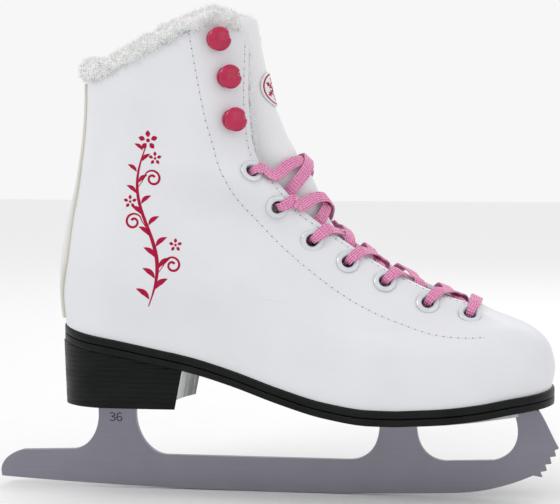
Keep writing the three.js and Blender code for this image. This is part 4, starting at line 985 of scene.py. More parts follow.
# ---------------------------------------------------------------- leather, linings, stay
@dataclass
class Shells:
    """The upper and the layers inside it, each a grid of the skin."""

    form: BootForm
    fittings: Fittings
    rows_low: int = 40
    rows_high: int = 105
    columns: int = 104
    eyelet_opening: float = 4.3
    eyelet_depth: float = 12.0

    def _rows(self, low: float, high: float) -> list[float]:
        end = self.form.throat_end
        rows = steps(0, end - 0.001, self.rows_low) + steps(end + 0.0015, 0.31, 16)
        rows += steps(0.318, 1, self.rows_high)
        return [low] + [v for v in rows if low + 0.003 < v < high - 0.003] + [high]

    def grid(self, maker: Maker, name: str, low: float, high: float, depth: float, extra: float,
             finish: Finish) -> bpy.types.Object:
        """Makes an open sheet of the skin round the whole boot, less the throat.

        Args:
            maker: makes the piece.
            name: its name.
            low: its lowest row.
            high: its highest row.
            depth: how far under the skin it lies.
            extra: how far its edge stands back from the throat's edge.
            finish: its finish.

        Returns:
            The object.
        """
        points: list[Vector] = []
        index: dict[tuple, int] = {}
        rows = self._rows(low, high)
        n = self.columns

        def add(key: tuple, u: float, v: float) -> int:
            if key not in index:
                index[key] = len(points)
                points.append(self.form.skin(u % 1, v, depth))
            return index[key]

        table = []
        for i, v in enumerate(rows):
            edge = self.form.edge_column(v, extra)
            whole = edge >= 0.4999
            line = []
            for j in range(2 * n + 1):
                k = abs(j - n) / n
                column = edge * (k ** 0.92)
                if j == n:
                    key, u = (i, "heel"), 0.0
                elif k == 1.0 and whole:
                    key, u = (i, "front"), 0.5
                else:
                    key, u = (i, j), column if j < n else 1 - column
                line.append(add(key, u, v))
            table.append(line)
        faces = []
        for i in range(len(rows) - 1):
            for j in range(2 * n):
                quad = [table[i][j], table[i + 1][j], table[i + 1][j + 1], table[i][j + 1]]
                faces.append([q for q, x in zip(quad, range(4)) if quad.index(q) == x])

        def keep(face: list[int]) -> bool:
            centre = sum((points[q] for q in face), Vector()) / len(face)
            for seat in self.fittings.all_eyelets():
                away = centre - seat.point
                height = away.dot(seat.normal)
                beside = (away - seat.normal * height).length
                if abs(height) < self.eyelet_depth and beside < self.eyelet_opening:
                    return False
            return True

        faces = [f for f in faces if len(f) > 2 and keep(f)]
        return maker_mesh(maker, name, points, faces, finish)

    def build(self, maker: Maker) -> bpy.types.Object:
        """Args: maker. Makes the upper and the layers inside it. Returns: the upper."""
        f = self.form
        upper = self.grid(maker, "upper_skin", 0, 1, 0, 0, WHITE_LEATHER)
        thicken(upper, f.leather, 0.5)
        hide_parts("upper_body")
        lining = self.grid(
            maker, "lining_pile", 0.03, 0.975, f.lining_depth, -f.lining_show, PLUSH
        )
        thicken(lining, f.lining, 0.8)
        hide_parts("boot_lining")
        return upper


def maker_mesh(maker: Maker, name: str, points, faces, finish: Finish) -> bpy.types.Object:
    """Makes a sheet without loose points. Args: as Maker.mesh. Returns: the object."""
    obj = maker.mesh(name, points, faces, finish)
    with editing(obj) as work:
        loose = [v for v in work.verts if not v.link_faces]
        bmesh.ops.delete(work, geom=loose, context="VERTS")
    return obj


@dataclass
class BackStay:
    """The strip over the heel seam, with a piping along each edge."""

    form: BootForm
    thickness: float = 1.0
    piping: float = 0.9
    half: Knots = Knots(((0, 9), (0.1, 10), (0.28, 17), (0.5, 13), (0.75, 9), (1, 8)))

    def _round(self, distance: float, v: float) -> float:
        radius = lerp(self.form.heel_half, self.form.shaft_round, v)
        back = radius * (1 - math.cos(distance / radius))
        length = self.form.front_line.at(v).x - self.form.back_line.at(v).x
        return math.acos(1 - 2 * back / length) / (2 * math.pi)

    def build(self, maker: Maker) -> None:
        """Args: maker. Makes the strip and both pipings."""
        f, lay = self.form, self.form.lay_on
        rings = []
        for v in steps(0.03, 0.975, 90):
            reach = self._round(self.half(v), v)
            us = [(u + 1) % 1 for u in steps(-reach, reach, 28)]
            full = lay + self.thickness
            edge = [lerp(0.2, full, rounded(min(i, 28 - i) + 0.2, 2.5, 2)) for i in range(29)]
            top = [f.skin(u, v, -rise) for u, rise in zip(us, edge)]
            rings.append(top + [f.skin(u, v, 0.1) for u in reversed(us)])
        stay = maker.loft("stay_strip", rings, STAY_LEATHER)
        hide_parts("back_stay")
        for side in Side:
            self._piping(maker, side)

    def _piping(self, maker: Maker, side: Side) -> None:
        f, r = self.form, self.piping
        rings = []
        for v in steps(0.03, 0.97, 150):
            reach = self._round(self.half(v) + 2 * f.gap + r + 0.4, v)
            u = reach if side is Side.LATERAL else 1 - reach
            centre, normal = f.skin(u, v, -r * 0.5), f.normal(u, v)
            ahead = (f.point(u, min(1, v + 0.01)) - f.point(u, v - 0.01)).normalized()
            across = ahead.cross(normal).normalized()
            rings.append([centre + across * (r * math.cos(a)) + normal * (r * math.sin(a))
                          for a in (2 * math.pi * i / 12 for i in range(12))])
        obj = maker.loft(f"piping_{side.label}_cord", rings, CREAM_PIPING)
        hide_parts(f"piping_{side.label}")


# ---------------------------------------------------------------- fur
@dataclass
class Fur:
    """Curly strands of pile, each a tapered ribbon."""

    seed: int = 7
    width: float = 0.34
    points: list[Vector] = field(default_factory=list)
    faces: list[tuple] = field(default_factory=list)

    def __post_init__(self) -> None:
        """Starts the random numbers, which are the same on every run."""
        self.random = random.Random(self.seed)

    def strand(self, root: Vector, out: Vector, length: float, curl: float) -> None:
        """Adds one strand.

        Args:
            root: where it grows.
            out: the way it grows.
            length: its length.
            curl: how far it bends over.
        """
        r = self.random
        side = Vector((r.uniform(-1, 1), r.uniform(-1, 1), r.uniform(-1, 1))).cross(out)
        if side.length < 1e-3:
            return
        side.normalize()
        way = out.normalized()
        bend = side.cross(way).normalized()
        p = root.copy()
        first = len(self.points)
        pieces = 3
        for i in range(pieces + 1):
            half = self.width * (1 - 0.8 * (i / pieces) ** 2) / 2
            self.points += [p - side * half, p + side * half]
            way = (way + bend * curl * (i + 1) / pieces).normalized()
            p = p + way * (length / pieces)
        for i in range(pieces):
            a = first + 2 * i
            self.faces.append((a, a + 1, a + 3, a + 2))


@dataclass
class Collar:
    """The fur roll on the collar and the pile that shows along the facings."""

    form: BootForm
    roll: float = 5.4
    strands: int = 21000

    def _centre(self, u: float) -> tuple[Vector, Vector]:
        """Args: u. Returns: the roll's centre over the collar, and the way outwards."""
        f = self.form
        w = u % 1
        normal = f.normal(w, 0.999)
        centre = f.skin(w, 1, f.layers / 2 - 0.4) + Vector((0, 0, f.gap + self.roll * 0.62))
        normal.z = 0
        return centre, normal.normalized()

    def build(self, maker: Maker) -> None:
        """Args: maker. Makes the roll, its strands and the facings' fringe."""
        start, count, around = 0.405, 170, 26
        rings, normals = [], []
        up = Vector((0, 0, 1))
        for i, u in enumerate(steps(start, -start, count)):
            centre, out = self._centre(u)
            end = 0.35 + 0.65 * rounded(min(i, count - i) + 0.3, 9, 2)
            ring, ways = [], []
            for k in range(around):
                a = 2 * math.pi * k / around
                way = out * (1.1 * math.cos(a)) + up * math.sin(a)
                base = centre + way * (self.roll * 0.86 * end) - up * (self.roll * (1 - end) * 0.5)
                lump = noise.noise(base * 0.16) * 1.5 + noise.noise(base * 0.45) * 0.8
                ring.append(base + way * lump * end)
                ways.append(way.normalized())
            rings.append(ring)
            normals.append(ways)
        roll = maker.loft("collar_roll", rings, FAUX_FUR)
        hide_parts("collar_fur")
        fur = Fur(11)
        r = fur.random
        for _ in range(self.strands):
            i, k = r.uniform(0, count - 1), r.randrange(around)
            a, b = int(i), min(count, int(i) + 1)
            k2 = (k + 1) % around
            across = rings[b][k2] if r.random() < 0.5 else rings[a][k2]
            root = rings[a][k].lerp(across, r.random())
            out = normals[a][k]
            lean = Vector((r.gauss(0, 0.45), r.gauss(0, 0.45), r.gauss(0, 0.35)))
            fur.strand(root - out * 0.5, out + lean, r.uniform(1.8, 3.8), r.uniform(0.3, 1.1))
        maker.mesh("collar_strands", fur.points, fur.faces, FAUX_FUR)
        self._fringe(maker)

    def _fringe(self, maker: Maker) -> None:
        """Makes the pile that stands past both facings' edges."""
        f = self.form
        fur = Fur(23, 0.3)
        r = fur.random
        depth = f.lining_depth + f.lining * 0.4
        levels = []
        for v in steps(0.3, 0.985, 200):
            edge = f.edge_column(v, -f.lining_show + 0.4)
            levels.append((v, edge))
        for index, (v, edge) in enumerate(levels[:-1]):
            thick = 0.15 + 0.85 * smooth(0.68, 0.8, v)
            for side in Side:
                lump = 0.6 + 0.55 * noise.noise(Vector((v * 60, side.value * 9.0, 3.0)))
                for _ in range(int(54 * thick) + 4):
                    w = lerp(v, levels[index + 1][0], r.random())
                    column = edge if side is Side.LATERAL else 1 - edge
                    root = f.skin(column, w, depth + r.uniform(-1.9, 0.6) * thick)
                    outside = Vector((0, side.value, 0))
                    out = f.normal(column, w) * 0.4 + f.front_normal(w) * 0.9 + outside * (0.3 * thick)
                    lean = Vector((r.gauss(0, 0.4), r.gauss(0, 0.3), r.gauss(0, 0.5)))
                    fur.strand(root, out + lean, r.uniform(1.2, 5.4) * (0.22 + thick * lump), r.uniform(0.3, 1.2))
        maker.mesh("facing_fringe", fur.points, fur.faces, FAUX_FUR)


# ---------------------------------------------------------------- tongue
@dataclass
class Tongue:
    """The padded tongue, made in one piece across the level fold between its two CAD halves."""

    form: BootForm
    thickness: float = 6.0
    half_width: float = 28.0
    lining: float = 1.8
    base: float = 0.29
    top: float = 1.045
    crease: float = 0.756
    lace_room: float = 2.1
    rise: Knots = Knots((
        (0.3, 1), (0.36, 4.5), (0.5, 6), (0.56, 7.5), (0.62, 11.5), (0.7, 17), (0.76, 18.6), (0.83, 14.5),
        (0.88, 11), (0.94, 9), (1, 7), (1.1, 6),
    ))
    emblem_at: float = 0.9
    emblem_radius: float = 9.0

    def __post_init__(self) -> None:
        """Works out the tongue's width along its length."""
        w = self.half_width
        self.half = Knots((
            (self.base, 7), (0.4, 8.4), (0.5, 8.4), (0.56, 8.2), (0.64, 17), (0.74, w - 2), (0.9, w),
            (1, w - 0.5), (1.03, w - 4), (self.top, w - 12),
        ))
        self._columns: dict[tuple[float, float], tuple[Vector, Vector]] = {}

    def point(self, y: float, v: float, inset: float) -> Vector:
        """Args: y across, v along, and the inset under the outer face. Returns: the point."""
        f = self.form
        level = min(0.999, v)
        key = (round(y, 3), round(level, 6))
        if key not in self._columns:
            u = 0.5 if abs(y) < 0.01 else f.column_at(level, y)
            self._columns[key] = (f.point(u, level), f.normal(u, level))
        skin, normal = self._columns[key]
        reach = f.half_gap(level) - f.lining_show - f.gap
        arch = max(0.0, 1 - (abs(y) / reach) ** 2) ** 1.5
        depth = f.layers + 2 * f.gap + self.lace_room * smooth(self.base, self.base + 0.04, v)
        p = skin - normal * (depth - self.rise(v) * arch + inset)
        p.z = lerp(p.z, f.front_line.at(level).y, smooth(0.72, 0.95, v))
        return p + Vector((-30, 0, 245)) * max(0.0, v - level)

    def _layer(self, maker: Maker, name: str, top: float, bottom: float, sink: float, finish: Finish) -> bpy.types.Object:
        """Makes one layer between two insets, in one piece across the fold."""
        rings = []
        across = 36
        middle = (top + bottom) / 2
        for v in [*steps(self.base, self.top - 0.012, 84), self.top - 0.006, self.top - 0.002, self.top]:
            half = self.half(v)
            end = rounded(min(v - self.base, self.top - v) + 0.001, 0.012, 2)
            outer, inner = [], []
            for k in steps(-1, 1, across):
                y = half * math.sin(k * math.pi / 2)
                thin = lerp(1, 0.45, (abs(y) / half) ** 3) if half else 1
                puff = rounded(half - abs(y) + 0.05, 1.6, 2) * lerp(0.35, 1, end)
                outer.append(self.point(y, v, lerp(middle, top, puff) * thin + sink))
                inner.append(self.point(y, v, lerp(middle, bottom, puff) * thin + sink))
            rings.append(outer + inner[::-1])
        obj = maker.loft(name, rings, finish, None)
        fold = self.form.front_line.at(self.crease).y * MM
        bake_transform(obj)
        return obj

    def build(self, maker: Maker) -> None:
        """Args: maker. Makes the padded face, its plush back and the emblem."""
        padding = self.thickness - self.lining
        face = self._layer(maker, "tongue_face", 0, padding, 0, TONGUE_LEATHER)
        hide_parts("tongue_lower", "tongue_upper")
        back = self._layer(maker, "tongue_back", padding, self.thickness, 4 * self.form.gap, PLUSH)
        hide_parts("tongue_lining_lower", "tongue_lining_upper")
        self._emblem(maker)

    def _emblem(self, maker: Maker) -> None:
        """Makes a round badge with a snow crystal on it."""
        share = 1 / 256

        def on_face(x: float, y: float, lift: float) -> Vector:
            return self.point(x, self.emblem_at + y * share, -lift)

        r = self.emblem_radius
        rings = []
        for radius, lift in ((r, 0.5), (r, 0.85), (r - 0.35, 1.1), (r * 0.6, 1.1), (r * 0.3, 1.1), (0.05, 1.1)):
            rings.append([on_face(radius * math.cos(a), radius * math.sin(a), lift)
                          for a in (2 * math.pi * i / 64 for i in range(64))])
        disc = maker.loft("badge_disc", rings, TONGUE_LEATHER, TONGUE)
        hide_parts("tongue_badge")
        points, faces = [], []

        def bar(ax: float, ay: float, bx: float, by: float, wide: float) -> None:
            d = Vector((bx - ax, by - ay))
            n = Vector((-d.y, d.x)).normalized() * wide / 2
            first = len(points)
            for k in steps(0, 1, 4):
                x, y = lerp(ax, bx, k), lerp(ay, by, k)
                points.append(on_face(x - n.x, y - n.y, 1.16))
                points.append(on_face(x + n.x, y + n.y, 1.16))
            for i in range(4):
                a = first + 2 * i
                faces.append((a, a + 1, a + 3, a + 2))

        for arm in range(6):
            a = math.radians(90 + 60 * arm)
            c, s = math.cos(a), math.sin(a)
            bar(0, 0, 6.4 * c, 6.4 * s, 0.95)
            for at, length in ((2.6, 1.7), (4.4, 1.5)):
                for turn in (-1, 1):
                    b = a + turn * math.radians(52)
                    bar(at * c, at * s, at * c + length * math.cos(b), at * s + length * math.sin(b), 0.75)
        for i in range(48):
            a, b = 2 * math.pi * i / 48, 2 * math.pi * (i + 1) / 48
            bar(7.7 * math.cos(a), 7.7 * math.sin(a), 7.7 * math.cos(b), 7.7 * math.sin(b), 0.8)
        maker.mesh("badge_crystal", points, faces, CRIMSON_INK, TONGUE)


# ---------------------------------------------------------------- lace
@dataclass(frozen=True)
class Station:
    """A place on a ribbon: its centre, the way its thickness faces, and its width."""

    p: Vector
    normal: Vector
    width: float = 6.4


@dataclass
class Lacing:
    """One flat lace through all the eyelets, whose free ends are tucked into the boot."""

    form: BootForm
    fittings: Fittings
    tongue: Tongue
    width: float = 6.4
    thickness: float = 1.2
    narrow: float = 4.0
    aglet_radius: float = 1.6
    aglet_length: float = 22.0
    free_end: tuple[tuple[float, float, float], ...] = (
        (-13.2, 21.2, 94.6), (-18, 20.2, 85), (-24.5, 18.8, 74), (-31, 20.4, 60), (-37, 22, 45), (-41, 21.6, 32),
        (-42.5, 20.4, 21), (-38, 19.6, 12.6), (-27, 19.4, 9.6), (-12, 20.6, 9.3), (10, 23.4, 9.2), (30, 26.4, 9.2),
        (50, 28, 9.2), (70, 28.6, 9.2), (82, 27, 9.2), (90, 22, 9.2), (93, 15.6, 9.2), (90, 9.2, 9.2),
        (82, 4.8, 9.2), (70, 4, 9.2), (50, 4, 9.2), (30, 4, 9.2), (10, 4, 9.2), (-10, 4, 9.2), (-30, 4, 9.2),
        (-50, 4, 9.2),
    )

    def __post_init__(self) -> None:
        """Works out the heights that the lace lies at."""
        self.half = self.thickness / 2
        self.on_leather = self.form.lay_on + 0.9 + self.form.gap + self.half

    def _over_skin(self, v: float, y: float, height: float, face: int) -> Station:
        f = self.form
        near, far = 0.0, -40.0
        side = 1 if y > 0 else -1
        best = (0.5, v)
        for _ in range(16):
            out = (near + far) / 2
            p = f.front_point(v, out)
            best = f.place_at(p.x, p.z, side, (0.8, v))
            if abs(f.point(*best).y - f.centre_y(p.x)) < abs(y):
                near = out
            else:
                far = out
        return Station(f.skin(best[0], best[1], -height), f.normal(*best) * face)

    def _over_throat(self, v: float, y: float, out: float, face: int) -> Station:
        return Station(self.form.front_point(v, out) + Vector((0, y, 0)), self.form.front_normal(v) * face)

    def _out_of(self, v: float, p: Vector) -> float:
        return (p - self.form.front_point(v, 0)).dot(self.form.front_normal(v))

    def _tongue_out(self, v: float, y: float) -> float:
        sign = 1 if y >= 0 else -1
        met = []
        for k in steps(0, self.tongue.half(v), 14):
            p = self.tongue.point(k * sign, v, 0)
            met.append((abs(p.y - self.form.centre_y(p.x)), self._out_of(v, p)))
        return max([out for wide, out in met if abs(wide - abs(y)) < 3.5] + [-30.0])

    def _crossing(self, a: Seat, b: Seat, lift: float, face: int) -> list[Station]:
        """From inside eyelet a, under its facing, over the throat and onto the leather beside eyelet b."""
        f = self.form
        ya, yb = a.point.y - f.centre_y(a.point.x), b.point.y - f.centre_y(b.point.x)
        side = 1 if ya > 0 else -1
        va, vb = f.level_of(a.point), f.level_of(b.point)

        def v_at(y: float) -> float:
            return lerp(va, vb, clamp01((ya - y) / (ya - yb)))

        half_share = self.width / 2 / 256
        near = max(v_at(side * 10), f.throat_end + 0.02 + half_share)
        far = v_at(-side * 12)
        lip = min(f.half_gap(near - half_share), f.half_gap(near + half_share)) - f.lining_show - 0.1
        rim = f.half_gap(far)
        wall_out = self._out_of(near, self._over_skin(near, side * (lip + 3.4), -f.layers, face).p)
        rim_point = self._over_skin(far, -side * (rim + 0.4), self.on_leather, face)
        rim_out = self._out_of(far, rim_point.p)
        top = max(wall_out + 6.5, -2.2) + lift
        outwards = Vector((0, side * face, 0))
        turned = outwards.lerp(f.front_normal(near) * face, 0.6).normalized()

        def clear(y: float, out: float) -> Station:
            v = v_at(y)
            least = self._tongue_out(v, y) + 5 * f.gap + self.half + lift
            return self._over_throat(v, y, max(out, least), face)

        return [
            Station(self._over_throat(near, side * (lip - 1.1), wall_out - 1.9, face).p, outwards, 5.0),
            Station(clear(side * (lip - 1.4), wall_out + 4).p, turned, self.width),
            clear(side * (lip - 4), top - 0.6),
            clear(side * (lip - 9), top - 0.2),
            clear(0, top),
            clear(-side * rim * 0.3, lerp(top, rim_out, 0.15) + 0.6),
            clear(-side * rim * 0.6, lerp(top, rim_out, 0.4) + 0.6),
            Station(rim_point.p, rim_point.normal.lerp(f.front_normal(far) * face, 0.5).normalized(), self.width),
            self._over_skin(v_at(-side * (rim + 2.4)), -side * (rim + 2.4), self.on_leather, face),
        ]

    def _dive(self, at: Seat, before: Station, after: Station, face: int) -> list[Station]:
        """Through an eyelet, from the station before it to the one after it."""
        def flat(p: Vector) -> Vector:
            away = p - at.point
            return (away - at.normal * away.dot(at.normal)).normalized()

        start, end = flat(before.p), flat(after.p)
        up = at.normal * face

        def place(way: Vector, slide: float, height: float, tilt: float, width: float) -> Station:
            return Station(at.point + way * slide + at.normal * height,
                           up * math.cos(tilt) - way * (face * math.sin(tilt)), width)

        deep = self.form.layers
        return [
            place(start, 3.6, self.on_leather + 0.1, 0.1, 5.4),
            place(start, 1.5, self.on_leather - 0.2, 0.6, self.narrow),
            place(start, 0.3, self.on_leather - 2.2, 1.5, self.narrow),
            place((start + end).normalized(), 0.1, -deep / 2, math.pi / 2, self.narrow * 0.8),
            place(end, 0.3, -deep + 0.4, 1.6, self.narrow),
            place(end, 1.1, -deep - 1.1, 2.3, self.narrow),
        ]

    def _strand(self, first: int) -> list[Station]:
        """Args: first, 0 or 1 for the eyelet it starts at. Returns: one half of the lace, from the middle up."""
        pair = (Side.LATERAL, Side.MEDIAL)
        order = [self.fittings.eyelets[pair[(k + first) % 2]][k] for k in range(7)]
        level = self.form.level_of(order[0].point)
        side = 1 if order[0].point.y > 0 else -1
        legs = [[
            self._over_throat(level, 0, self.on_leather, 1),
            self._over_throat(level, side * 6, self.on_leather - 0.8, 1),
            self._over_skin(level, side * 11.5, self.on_leather, 1),
        ]]
        for k in range(1, 7):
            legs.append(self._crossing(order[k - 1], order[k], 1.8 if first else 0.0, -1 if k % 2 else 1))
        line: list[Station] = []
        for k, leg in enumerate(legs):
            after = legs[k + 1][0] if k < 6 else leg[-3]
            line += leg + self._dive(order[k], leg[-1], after, -1 if k % 2 else 1)
        return line

    def _ribbon(self, maker: Maker, name: str, stations: list[Station], across: list[Vector] | None,
                step: float = 0.45) -> tuple[bpy.types.Object, list[Vector]]:
        """Sweeps the braid's section along stations.

        Args:
            maker: makes the piece.
            name: its name.
            stations: the ribbon's stations.
            across: the way its width lies at each station, or None to take it from the stations' normals.
            step: distance between sections.

        Returns:
            The object, and its centreline in metres.
        """
        centres = [s.p for s in stations]
        last = len(centres) - 1
        wide = []
        for i, s in enumerate(stations):
            ahead = (centres[min(last, i + 1)] - centres[max(0, i - 1)]).normalized()
            a = across[i] if across else ahead.cross(s.normal)
            wide.append((a - ahead * a.dot(ahead)).normalized())
        places = [0.0]
        while places[-1] < last:
            i = min(int(places[-1]), last - 1)
            places.append(places[-1] + step / max(0.3, (centres[i + 1] - centres[i]).length))
        places[-1] = float(last)
        path = [catmull(centres, p) for p in places]
        count = 14
        points, uvs, travelled = [], [], 0.0
        for i, p in enumerate(places):
            if i:
                travelled += (path[i] - path[i - 1]).length
            ahead = (path[min(i + 1, len(path) - 1)] - path[max(0, i - 1)]).normalized()
            k = min(int(p), last - 1)
            share = p - k
            a = wide[k].lerp(wide[k + 1], share)
            a = (a - ahead * a.dot(ahead)).normalized()
            up = a.cross(ahead).normalized()
            half = lerp(stations[k].width, stations[k + 1].width, share) / 2
            half *= 1 + 0.018 * math.sin(travelled * 5.2)
            for j in range(count):
                t = 2 * math.pi * j / count
                c, s = math.cos(t), math.sin(t)
                x = math.copysign(abs(c) ** 0.45, c)
                y = math.copysign(abs(s) ** 0.8, s) * (1 + 0.1 * math.cos(7 * x))
                points.append(path[i] + a * (half * x) + up * (self.half * 0.92 * y))
                uvs.append((travelled * MM, x * half * MM))
        faces = tube_faces(len(path), count)
        top = (len(path) - 1) * count
        faces += [tuple(reversed(range(count))), tuple(range(top, top + count))]
        obj = maker.mesh(name, points, faces, PINK_LACE)
        layer = obj.data.uv_layers.new(name="along")
        for loop in obj.data.loops:
            layer.data[loop.index].uv = uvs[loop.vertex_index]
        with editing(obj) as work:
            bmesh.ops.recalc_face_normals(work, faces=work.faces)
        return obj, [p * MM for p in path]

    def free_ends(self, maker: Maker) -> None:
        """Args: maker."""
        f = self.form
        for side in Side:
            route = [
                Vector((x, f.centre_y(x) + side.value * y, f.feather_z(x) + z)) for x, y, z in self.free_end
            ]
            last = len(route) - 1
            across = []
            for i in range(len(route)):
                ahead = route[min(i + 1, last)] - route[max(i - 1, 0)]
                sideways = ahead.cross(Vector((0, 0, 1))).normalized() * side.value
                across.append(ahead.cross(Vector((0, -side.value, 0)) if i < 7 else sideways).normalized())
            stations = [Station(p, Vector((0, 0, 1)), self.width) for p in route]
            obj, path = self._ribbon(maker, f"lace_end_{side.label}_braid", stations, across, 1.2)
            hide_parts(f"lace_end_{side.label}")
            slope = (route[last] - route[last - 1]).normalized()
            place = Matrix.Translation(route[last]) @ slope.to_track_quat("Z", "Y").to_matrix().to_4x4()
            r, n = self.aglet_radius, self.aglet_length
            profile = [(0, 0.3), (r * 0.9, 0.3), (r, 0.6), (r, n * 0.3), (r * 0.92, n * 0.34), (r, n * 0.38),
                       (r, n - 0.6), (r * 0.8, n - 0.1), (0, n)]
            aglet = maker.lathe(f"aglet_{side.label}_film", profile, place, AGLET_FILM, 24)
            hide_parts(f"aglet_{side.label}")

    def threaded(self, maker: Maker) -> None:
        """Args: maker. Makes the threaded lace."""
        stations = list(reversed(self._strand(0))) + self._strand(1)[1:]
        obj, path = self._ribbon(maker, "lace_braid", stations, None)
        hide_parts("lace")
        LOG.info("threaded lace is %.3f m long", sum((b - a).length for a, b in zip(path, path[1:])))


# ---------------------------------------------------------------- print and stitches
@dataclass
class Ink:
    """Flat shapes in the side view, laid onto the leather of one side."""

    tree: BVHTree
    side: Side
    lift: float = 0.07
    points: list[Vector] = field(default_factory=list)
    faces: list[tuple] = field(default_factory=list)

    def lay(self, x: float, z: float, lift: float | None = None) -> Vector | None:
        """Args: x, z, and the height over the leather. Returns: the point on the leather, or None beside it."""
        start = Vector((x, self.side.value * 120.0, z))
        hit, normal, _, _ = self.tree.ray_cast(start, Vector((0, -self.side.value, 0)))
        if hit is None:
            return None
        if normal.y * self.side.value < 0:
            normal = -normal
        return hit + normal * (self.lift if lift is None else lift)

    def stroke(self, line: Sequence[Point2], widths: Sequence[float], step: float = 0.6, cross: int = 2) -> None:
        """Draws a brush stroke.

        Args:
            line: the points that it goes through.
            widths: its width at equal steps along it.
            step: distance between sections.
            cross: sections across it.
        """
        knots = [Vector(p) for p in line]
        size = sum((b - a).length for a, b in zip(knots, knots[1:]))
        count = max(4, int(size / step))
        spots = [catmull(knots, (len(knots) - 1) * i / count) for i in range(count + 1)]
        rows = []
        for i, p in enumerate(spots):
            ahead = spots[min(i + 1, count)] - spots[max(i - 1, 0)]
            if ahead.length < 1e-6:
                return
            n = Vector((-ahead.y, ahead.x)).normalized()
            width = catmull(list(widths), (len(widths) - 1) * i / count)
            row = [self.lay(*(p + n * (width * k / 2))) for k in steps(-1, 1, cross)]
            rows.append(row)
        for a, b in zip(rows, rows[1:]):
            if None in a or None in b:
                continue
            first = len(self.points)
            self.points += a + b
            m = cross + 1
            self.faces += [(first + j, first + j + 1, first + m + j + 1, first + m + j) for j in range(cross)]

    def dot(self, x: float, z: float, radius: float, sides: int = 12) -> None:
        """Args: the centre and radius of a dot, and its count of sides."""
        turns = [2 * math.pi * i / sides for i in range(sides)]
        ring = [self.lay(x + radius * math.cos(a), z + radius * math.sin(a)) for a in turns]
        if None in ring:
            return
        first = len(self.points)
        self.points += ring
        self.faces.append(tuple(range(first, first + sides)))

    def leaf(self, base: Point2, tip: Point2, width: float, bend: float = 0.12) -> None:
        """Args: a leaf's base, tip, width, and how far it bends as a share of its length."""
        a, b = Vector(base), Vector(tip)
        n = Vector((-(b - a).y, (b - a).x))
        self.stroke([a, a.lerp(b, 0.35) + n * bend, a.lerp(b, 0.7) + n * bend * 0.8, b],
                    [0.15, width * 0.75, width, width * 0.62, 0.1], 0.45, 4)


@dataclass
class Ornament:
    """A plain vine with alternate leaves, curls and five-petalled blossoms, printed on both sides of the shaft."""

    tree: BVHTree
    low: float = 98.0
    high: float = 178.0
    middle: float = -59.0
    sway: float = 5.0
    leaves: int = 15
    leaf_angle: float = 38.0
    curl_places: tuple[float, ...] = (0.2, 0.47, 0.74)
    curl_radius: float = 4.6

    def _stem(self, k: float) -> Point2:
        """Args: k, share of the vine's height. Returns: the place on its stem."""
        return self.middle + self.sway * math.sin(2 * math.pi * k), lerp(self.low, self.high, k)

    def _blossom(self, ink: Ink, x: float, z: float, size: float) -> None:
        """Args: ink, and the blossom's centre and size. Draws five even petals round a dot."""
        ink.dot(x, z, size * 0.2)
        for i in range(5):
            a = math.pi / 2 + 2 * math.pi * i / 5
            c, s = math.cos(a) * size, math.sin(a) * size
            ink.leaf((x + 0.32 * c, z + 0.32 * s), (x + c, z + s), size * 0.5, 0)

    def _curl(self, ink: Ink, k: float, turn: int) -> None:
        """Args: ink, the curl's place on the stem, and the side it turns to. Draws it, with a blossom beyond."""
        x, z = self._stem(k)
        r = self.curl_radius
        centre = (x + turn * (r + 3.5), z + 5)
        line = [(x, z)]
        for j in steps(0, 1, 12):
            a = math.pi + 2.8 * math.pi * j
            reach = r * (1 - 0.75 * j)
            line.append((centre[0] + turn * reach * math.cos(a), centre[1] - reach * math.sin(a)))
        ink.stroke(line, (0.3, 1.0, 1.2, 1.1, 1.3))
        self._blossom(ink, centre[0] + turn * 1.5, centre[1] + r + 5.5, 3.4)

    def build(self, maker: Maker) -> None:
        """Args: maker. Prints both sides."""
        for side in Side:
            ink = Ink(self.tree, side)
            ink.stroke([self._stem(k) for k in steps(0, 1, 24)], (0.5, 1.9, 1.7, 1.4, 0.6))
            for i in range(self.leaves):
                k = (i + 0.6) / self.leaves
                turn = 1 if i % 2 else -1
                x, z = self._stem(k)
                length = lerp(9.5, 6, k)
                a = math.radians(self.leaf_angle)
                tip = (x + turn * length * math.cos(a), z + length * math.sin(a))
                ink.leaf((x + turn * 0.8, z + 0.4), tip, length * 0.3, 0.12 * turn)
            for i, k in enumerate(self.curl_places):
                self._curl(ink, k, -1 if i % 2 else 1)
            self._blossom(ink, *self._stem(1.04), 5.0)
            obj = maker.mesh(f"print_{side.label}", ink.points, ink.faces, CRIMSON_INK)
            outward_from_middle(obj)


def outward_from_middle(obj: bpy.types.Object) -> None:
    """Args: obj, thin ink whose faces are turned away from the boot's middle plane."""
    with editing(obj) as work:
        work.normal_update()
        wrong = [q for q in work.faces if q.normal.y * q.calc_center_median().y < 0]
        bmesh.ops.reverse_faces(work, faces=wrong)


